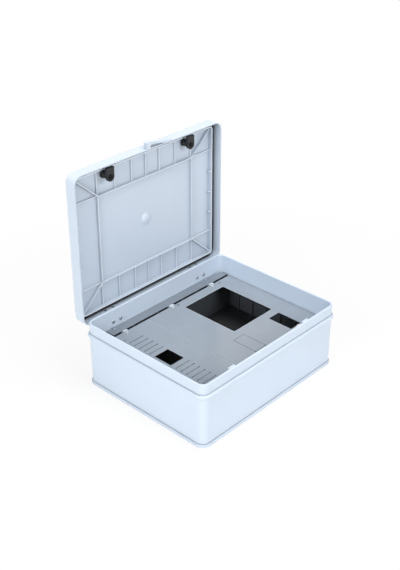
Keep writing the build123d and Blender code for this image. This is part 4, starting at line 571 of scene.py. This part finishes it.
@dataclass
class Lid:
    """The open lid: its crest-rounded ribs and its gasket, in closed-lid mm."""

    frame_half: Pair = (120.0, 163.6)
    frame_radius: float = 2.0
    rib_half: float = 1.2
    frame_crest: float = 180.0
    mitre_end: Pair = (181.5, 232.0)
    mitre_crest: float = 179.0
    low_crest: float = 183.0
    low_ys: tuple[float, ...] = (-163.6, -105.0, -48.0, 0.0, 48.0, 105.0, 163.6)
    groove_half: Pair = (187.5, 237.5)
    groove_radius: float = 7.5
    groove_wall_half: float = 1.5
    groove_crest: float = 175.0
    groove_rise: float = 0.3
    gusset_xs: tuple[float, ...] = (-60.0, 0.0, 60.0)
    gusset_crest: float = 178.0
    gusset_reach: float = 7.0
    gasket_half: Pair = (194.9, 244.9)
    gasket_radius: float = 14.9
    gasket_width: float = 10.6
    gasket_seat: float = 184.3
    gasket_thick: float = 4.0
    gasket_shoulder: float = 0.45
    gasket_sink: float = 0.05
    crest_sink: float = 0.4
    wall_overlap: float = 1.0

    def crest(self, half: float, z: float, rise: float = 0.6) -> list[Pair]:
        """Return a low half-round profile that caps a rib.

        Args:
            half: Half the rib's thickness in mm.
            z: The rib's crest in closed-lid mm.
            rise: How far the crown stands off the crest in mm.

        Returns:
            The profile, from one foot over the crown to the other.
        """
        steps = 6
        arc = [(half * math.cos(math.pi * i / steps), z - rise * math.sin(math.pi * i / steps))
               for i in range(steps + 1)]
        return arc + [(-half, z + self.crest_sink), (half, z + self.crest_sink)]

    def add_crests(self) -> None:
        """Round the crests of the lid's ribs, frame and groove wall."""
        mould = Mould(OPEN_LID)
        half_x, half_y = self.frame_half
        rib = self.rib_half
        wall_x = self.groove_half[0] - self.wall_overlap
        wall_y = self.groove_half[1] - self.wall_overlap
        mould.sweep(rounded_loop(half_x, half_y, self.frame_radius, steps=4),
                    self.crest(rib, self.frame_crest), True)
        mould.sweep(rounded_loop(*self.groove_half, self.groove_radius),
                    self.crest(self.groove_wall_half, self.groove_crest, self.groove_rise),
                    True)
        mitre = self.crest(rib, self.mitre_crest)
        low = self.crest(rib, self.low_crest)
        gusset = self.crest(rib, self.gusset_crest)
        for side in (-1, 1):
            for other in (-1, 1):
                end = (side * self.mitre_end[0], other * self.mitre_end[1])
                mould.sweep([(side * half_x, other * half_y), end], mitre, False)
            for y in self.low_ys:
                mould.sweep([(side * half_x, y), (side * wall_x, y)], low, False)
            for x in (-half_x, half_x):
                mould.sweep([(x, side * half_y), (x, side * wall_y)], low, False)
            for x in self.gusset_xs:
                start = self.groove_half[1] - self.groove_wall_half - self.gusset_reach
                mould.sweep([(x, side * start), (x, side * wall_y)], gusset, False)
        mould.finish("lid_rib_crests", CREST_HIGHLIGHT, "lid", "shell_plastic")

    def add_gasket(self) -> None:
        """Lay a cord with a domed face in the groove."""
        mould = Mould(OPEN_LID)
        half = self.gasket_width / 2
        steps = 10
        shoulder = self.gasket_thick * self.gasket_shoulder
        dome = self.gasket_thick - shoulder
        arc = [(half * math.cos(math.pi * i / steps),
                self.gasket_seat - shoulder - dome * math.sin(math.pi * i / steps))
               for i in range(steps + 1)]
        foot = self.gasket_seat - self.gasket_sink
        profile = arc + [(-half, foot), (half, foot)]
        mould.sweep(rounded_loop(*self.gasket_half, self.gasket_radius, steps=12), profile, True)
        cord = mould.finish("lid_gasket_cord", GASKET, "lid", "gasket_rubber",
                            smooth_deg=60.0)
        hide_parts("lid_gasket")

    def dress(self) -> None:
        """Dress the lid's own nodes and add its pieces."""
        dress(LID, "lid_shell")
        dress(ZINC, "lid_hinge_leaves", "lid_hinge_screws")
        self.add_crests()
        self.add_gasket()


@dataclass
class TurnLock:
    """One turn lock in the lid: threaded stem, ring nut, cam and screw, in closed-lid mm."""

    name: str
    y: float
    x: float = 170.0
    stem_r: float = 8.0
    stem_end: float = 170.0
    nut_low: float = 182.0
    nut_high: float = 186.95
    nut_r: float = 10.4
    pitch: float = 1.5
    thread_depth: float = 0.35
    thread_lead: float = 0.6
    thread_root: float = 0.02
    thread_sink: float = 0.4
    thread_flanks: Pair = (0.35, 0.55)
    nut_gap: float = 0.1
    nut_chamfer: float = 0.8
    nut_face_step: float = 1.0
    nut_back_step: float = 0.5
    nut_steps: int = 96
    washer_steps: int = 36
    nut_lobes: int = 16
    lobe_depth: float = 0.8
    cam_face: float = 157.5
    washer_r: Pair = (5.3, 7.6)
    washer_thick: float = 0.9
    washer_edge: float = 0.3

    def add_thread(self) -> None:
        """Put the stem's thread ridges between its end and the nut."""
        mould = Mould(OPEN_LID)
        outer = []
        start = self.stem_end + self.thread_lead
        root = self.stem_r + self.thread_root
        crest = self.stem_r + self.thread_depth
        core = self.stem_r - self.thread_sink
        z = start
        while z + self.pitch < self.nut_low:
            outer.append((root, z))
            outer.extend((crest, z + self.pitch * flank) for flank in self.thread_flanks)
            z += self.pitch
        outer.append((root, z))
        inner = [(core, z), (core, start)]
        mould.turn((self.x, self.y), outer + inner)
        mould.finish(f"{self.name}_lock_thread", CASTING, "lid", "black_metal",
                     smooth_deg=25.0)

    def add_nut(self) -> None:
        """Make the ring nut with its grip lobes and chamfers."""
        mould = Mould(OPEN_LID)
        low, high, r = self.nut_low, self.nut_high, self.nut_r
        bore, cut = self.stem_r + self.nut_gap, self.nut_chamfer
        profile = [(bore, low), (r - self.nut_face_step, low), (r, low + cut),
                   (r, high - cut), (r - self.nut_back_step, high), (bore, high)]
        mould.turn((self.x, self.y), profile, self.nut_steps, self.nut_lobes, self.lobe_depth)
        nut = mould.finish(f"{self.name}_lock_ring_nut", NUT, "lid", "black_plastic",
                           smooth_deg=25.0)
        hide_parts(f"{self.name}_lock_nut")

    def add_washer(self) -> None:
        """Lay the spring washer round the cam screw's head."""
        mould = Mould(OPEN_LID)
        inner, outer = self.washer_r
        low = self.cam_face - self.washer_thick
        edge = self.washer_edge
        profile = [(inner, self.cam_face), (inner, low), (outer - edge, low),
                   (outer, low + edge), (outer, self.cam_face)]
        mould.turn((self.x, self.y), profile, self.washer_steps)
        mould.finish(f"{self.name}_lock_washer", BLACKED, f"{self.name}_latch", "black_metal")

    def dress(self) -> None:
        """Dress the lock's own nodes and add its pieces."""
        dress(CASTING, f"{self.name}_lock_body", f"{self.name}_lock_cam")
        dress(ZINC, f"{self.name}_lock_core")
        dress(BLACKED, f"{self.name}_cam_screw")
        self.add_thread()
        self.add_nut()
        self.add_washer()


@dataclass
class InnerCovers:
    """The two hinged inner covers with their strip, clips, knobs and lips, in mm."""

    top: float = 126.5
    left: float = -160.0
    right: float = 182.0
    seam: float = -75.3
    window: tuple[float, float, float, float] = (-130.2, 44.2, 34.4, 184.3)
    window_r: float = 3.5
    lip_width: float = 1.5
    lip_rise: float = 0.3
    lip_sink: float = 0.1
    lip_gap: float = 0.1
    lip_end_gap: float = 1.0

    def lip(self) -> list[Pair]:
        """Return the lip's low half-round profile.

        Returns:
            The profile, from one foot over the crown to the other.
        """
        half = self.lip_width / 2
        steps = 6
        arc = [(half * math.cos(math.pi * i / steps),
                self.top + self.lip_rise * math.sin(math.pi * i / steps))
               for i in range(steps + 1)]
        return arc + [(-half, self.top - self.lip_sink), (half, self.top - self.lip_sink)]

    def add_seam_lip(self) -> None:
        """Run a moulded lip along the lower cover's edge at the seam."""
        mould = Mould(AS_BOX)
        y = self.seam - self.lip_width / 2 - self.lip_gap
        ends = (self.left + self.lip_end_gap, self.right - self.lip_end_gap)
        mould.sweep([(x, y) for x in ends], self.lip(), False)
        mould.finish("cover_seam_lip", LIP, "lower_cover", "panel_plastic")

    def add_window_lip(self) -> None:
        """Run the same lip round the meter window."""
        low_x, high_x, low_y, high_y = self.window
        middle = ((low_x + high_x) / 2, (low_y + high_y) / 2, 0.0)
        mould = Mould(Place(middle))
        out = self.lip_width / 2 + self.lip_gap
        loop = rounded_loop((high_x - low_x) / 2 + out, (high_y - low_y) / 2 + out,
                            self.window_r + out, steps=6)
        mould.sweep(loop, self.lip(), True)
        mould.finish("meter_window_lip", LIP, "upper_cover", "panel_plastic")

    def dress(self) -> None:
        """Dress the covers' nodes and add their lips."""
        dress(COVER, "breaker_panel", "meter_panel")
        dress(STRIP, "panel_hinge_strip")
        dress(NYLON, "breaker_panel_clip", "meter_panel_clips", "breaker_panel_fastener",
              "meter_panel_fastener")
        self.add_seam_lip()
        self.add_window_lip()


@dataclass
class BackBoard:
    """The mounting board with its rails and terminal bars."""

    def dress(self) -> None:
        """Dress the board's nodes."""
        dress(BOARD, "mounting_board")
        dress(ZINC, "board_screws", "din_rail", "rail_screws", "lower_meter_rail",
              "upper_meter_rail", "meter_rail_screws", "bar_screws")
        dress(BRASS, "neutral_bar", "earth_bar", "terminal_screws")


@dataclass
class Lamp:
    """A soft rectangular lamp that points at the box, in metres and watts."""

    name: str
    place: tuple[float, float, float]
    size: Pair
    power: float
    aim: tuple[float, float, float] = (0.0, 0.0, 0.15)

    def build(self) -> None:
        """Add the lamp to the scene, unseen by the camera."""
        data = bpy.data.lights.new(self.name, "AREA")
        data.shape = "RECTANGLE"
        data.size, data.size_y = self.size
        data.energy = self.power
        lamp = bpy.data.objects.new(self.name, data)
        lamp.location = self.place
        beam = Vector(self.aim) - Vector(self.place)
        lamp.rotation_euler = beam.to_track_quat("-Z", "Y").to_euler()
        lamp.visible_camera = False
        bpy.context.scene.collection.objects.link(lamp)


def seen_directly(tree: bpy.types.NodeTree) -> bpy.types.NodeSocket:
    """Return a socket that is one for camera, glossy and transmission rays.

    Args:
        tree: The node tree.

    Returns:
        The socket.
    """
    ray = add_node(tree, "ShaderNodeLightPath")
    first = add_node(tree, "ShaderNodeMath",
                     {0: ray.outputs["Is Camera Ray"], 1: ray.outputs["Is Glossy Ray"]},
                     operation="MAXIMUM")
    both = add_node(tree, "ShaderNodeMath",
                    {0: first.outputs[0], 1: ray.outputs["Is Transmission Ray"]},
                    operation="MAXIMUM")
    return both.outputs[0]


@dataclass
class Studio:
    """A white floor and soft lights at a plain level, and the camera."""

    eye_mm: tuple[float, float, float] = (1416.4, -1559.1, 1487.2)
    azimuth_deg: float = 43.13
    elevation_deg: float = 30.20
    lens_mm: float = 61.70
    floor_m: float = 60.0
    floor_drop_mm: float = 0.4
    near_white: Pair = (0.35, 0.86)
    far_white: Pair = (1.1, 1.0)
    sky: float = 0.13
    lamps: list[Lamp] = field(default_factory=lambda: [
        Lamp("top softbox", (0.05, 0.3, 2.6), (1.4, 1.4), 42.0),
        Lamp("corner softbox", (1.0, -2.9, 0.35), (1.4, 0.5), 8.0),
        Lamp("right softbox", (2.4, 0.1, 1.5), (1.2, 1.2), 33.0),
        Lamp("front softbox", (0.2, -2.4, 1.5), (1.2, 1.2), 35.0),
    ])

    def camera(self) -> None:
        """Set up the camera at the photograph's view."""
        data = bpy.data.cameras.new("camera")
        data.sensor_fit = "VERTICAL"
        data.sensor_height = 36.0
        data.lens = self.lens_mm
        data.clip_end = 200.0
        eye = bpy.data.objects.new("camera", data)
        bpy.context.scene.collection.objects.link(eye)
        azimuth = math.radians(self.azimuth_deg)
        elevation = math.radians(self.elevation_deg)
        look = Vector((-math.sin(azimuth) * math.cos(elevation),
                       math.cos(azimuth) * math.cos(elevation),
                       -math.sin(elevation)))
        eye.location = Vector(self.eye_mm) * MM
        eye.rotation_euler = look.to_track_quat("-Z", "Y").to_euler()
        bpy.context.scene.camera = eye

    def floor(self) -> None:
        """Lay the floor: white to the camera where lit, with the box's soft shadow kept."""
        mesh = bpy.data.meshes.new("floor")
        half = self.floor_m / 2
        mesh.from_pydata([(-half, -half, 0), (half, -half, 0), (half, half, 0), (-half, half, 0)],
                         [], [(0, 1, 2, 3)])
        ground = bpy.data.objects.new("floor", mesh)
        ground.location.z = -self.floor_drop_mm * MM
        bpy.context.scene.collection.objects.link(ground)
        material, tree = start_material("white studio floor")
        where = add_node(tree, "ShaderNodeTexCoord").outputs["Object"]
        away = add_node(tree, "ShaderNodeVectorMath", {0: where}, operation="LENGTH")
        # Near the box the floor is part lit, so its shadow shows; farther out it is all white
        white_part = add_node(tree, "ShaderNodeMapRange", {"Value": away.outputs["Value"]},
                              {"From Min": self.near_white[0], "From Max": self.far_white[0],
                               "To Min": self.near_white[1], "To Max": self.far_white[1]})
        share = add_node(tree, "ShaderNodeMath",
                         {0: seen_directly(tree), 1: white_part.outputs["Result"]},
                         operation="MULTIPLY")
        paint = add_node(tree, "ShaderNodeBsdfDiffuse", values={"Color": (0.9, 0.9, 0.9, 1.0)})
        glow = add_node(tree, "ShaderNodeEmission",
                        values={"Color": (1.0, 1.0, 1.0, 1.0), "Strength": 1.0})
        white = add_node(tree, "ShaderNodeMixShader",
                         {0: share.outputs[0], 1: paint.outputs[0], 2: glow.outputs[0]})
        add_node(tree, "ShaderNodeOutputMaterial", {"Surface": white.outputs[0]})
        mesh.materials.append(material)

    def world(self) -> None:
        """Fill the world with even light and a white backdrop."""
        world = bpy.data.worlds.new("studio")
        world.use_nodes = True
        tree = world.node_tree
        tree.nodes.clear()
        level = add_node(tree, "ShaderNodeMapRange", {"Value": seen_directly(tree)},
                         {"To Min": self.sky, "To Max": 1.0})
        sky = add_node(tree, "ShaderNodeBackground", {"Strength": level.outputs["Result"]},
                       {"Color": (1.0, 1.0, 1.0, 1.0)})
        add_node(tree, "ShaderNodeOutputWorld", {"Surface": sky.outputs[0]})
        bpy.context.scene.world = world

    def build(self) -> None:
        """Build the camera, the floor, the world and the lamps."""
        self.camera()
        self.floor()
        self.world()
        for lamp in self.lamps:
            lamp.build()
        bpy.context.scene.view_settings.view_transform = "Standard"
        LOG.info("studio: camera, floor, world and %d lamps", len(self.lamps))


def main() -> None:
    """Dress the frame, build the added pieces and set up the studio."""
    logging.basicConfig(level=logging.INFO, format="%(name)s: %(message)s")
    BoxBody().dress()
    Lid().dress()
    for name, y in (("lower", -139.0), ("upper", 139.0)):
        TurnLock(name, y).dress()
    InnerCovers().dress()
    BackBoard().dress()
    Studio().build()


if __name__ == "__main__":
    main()
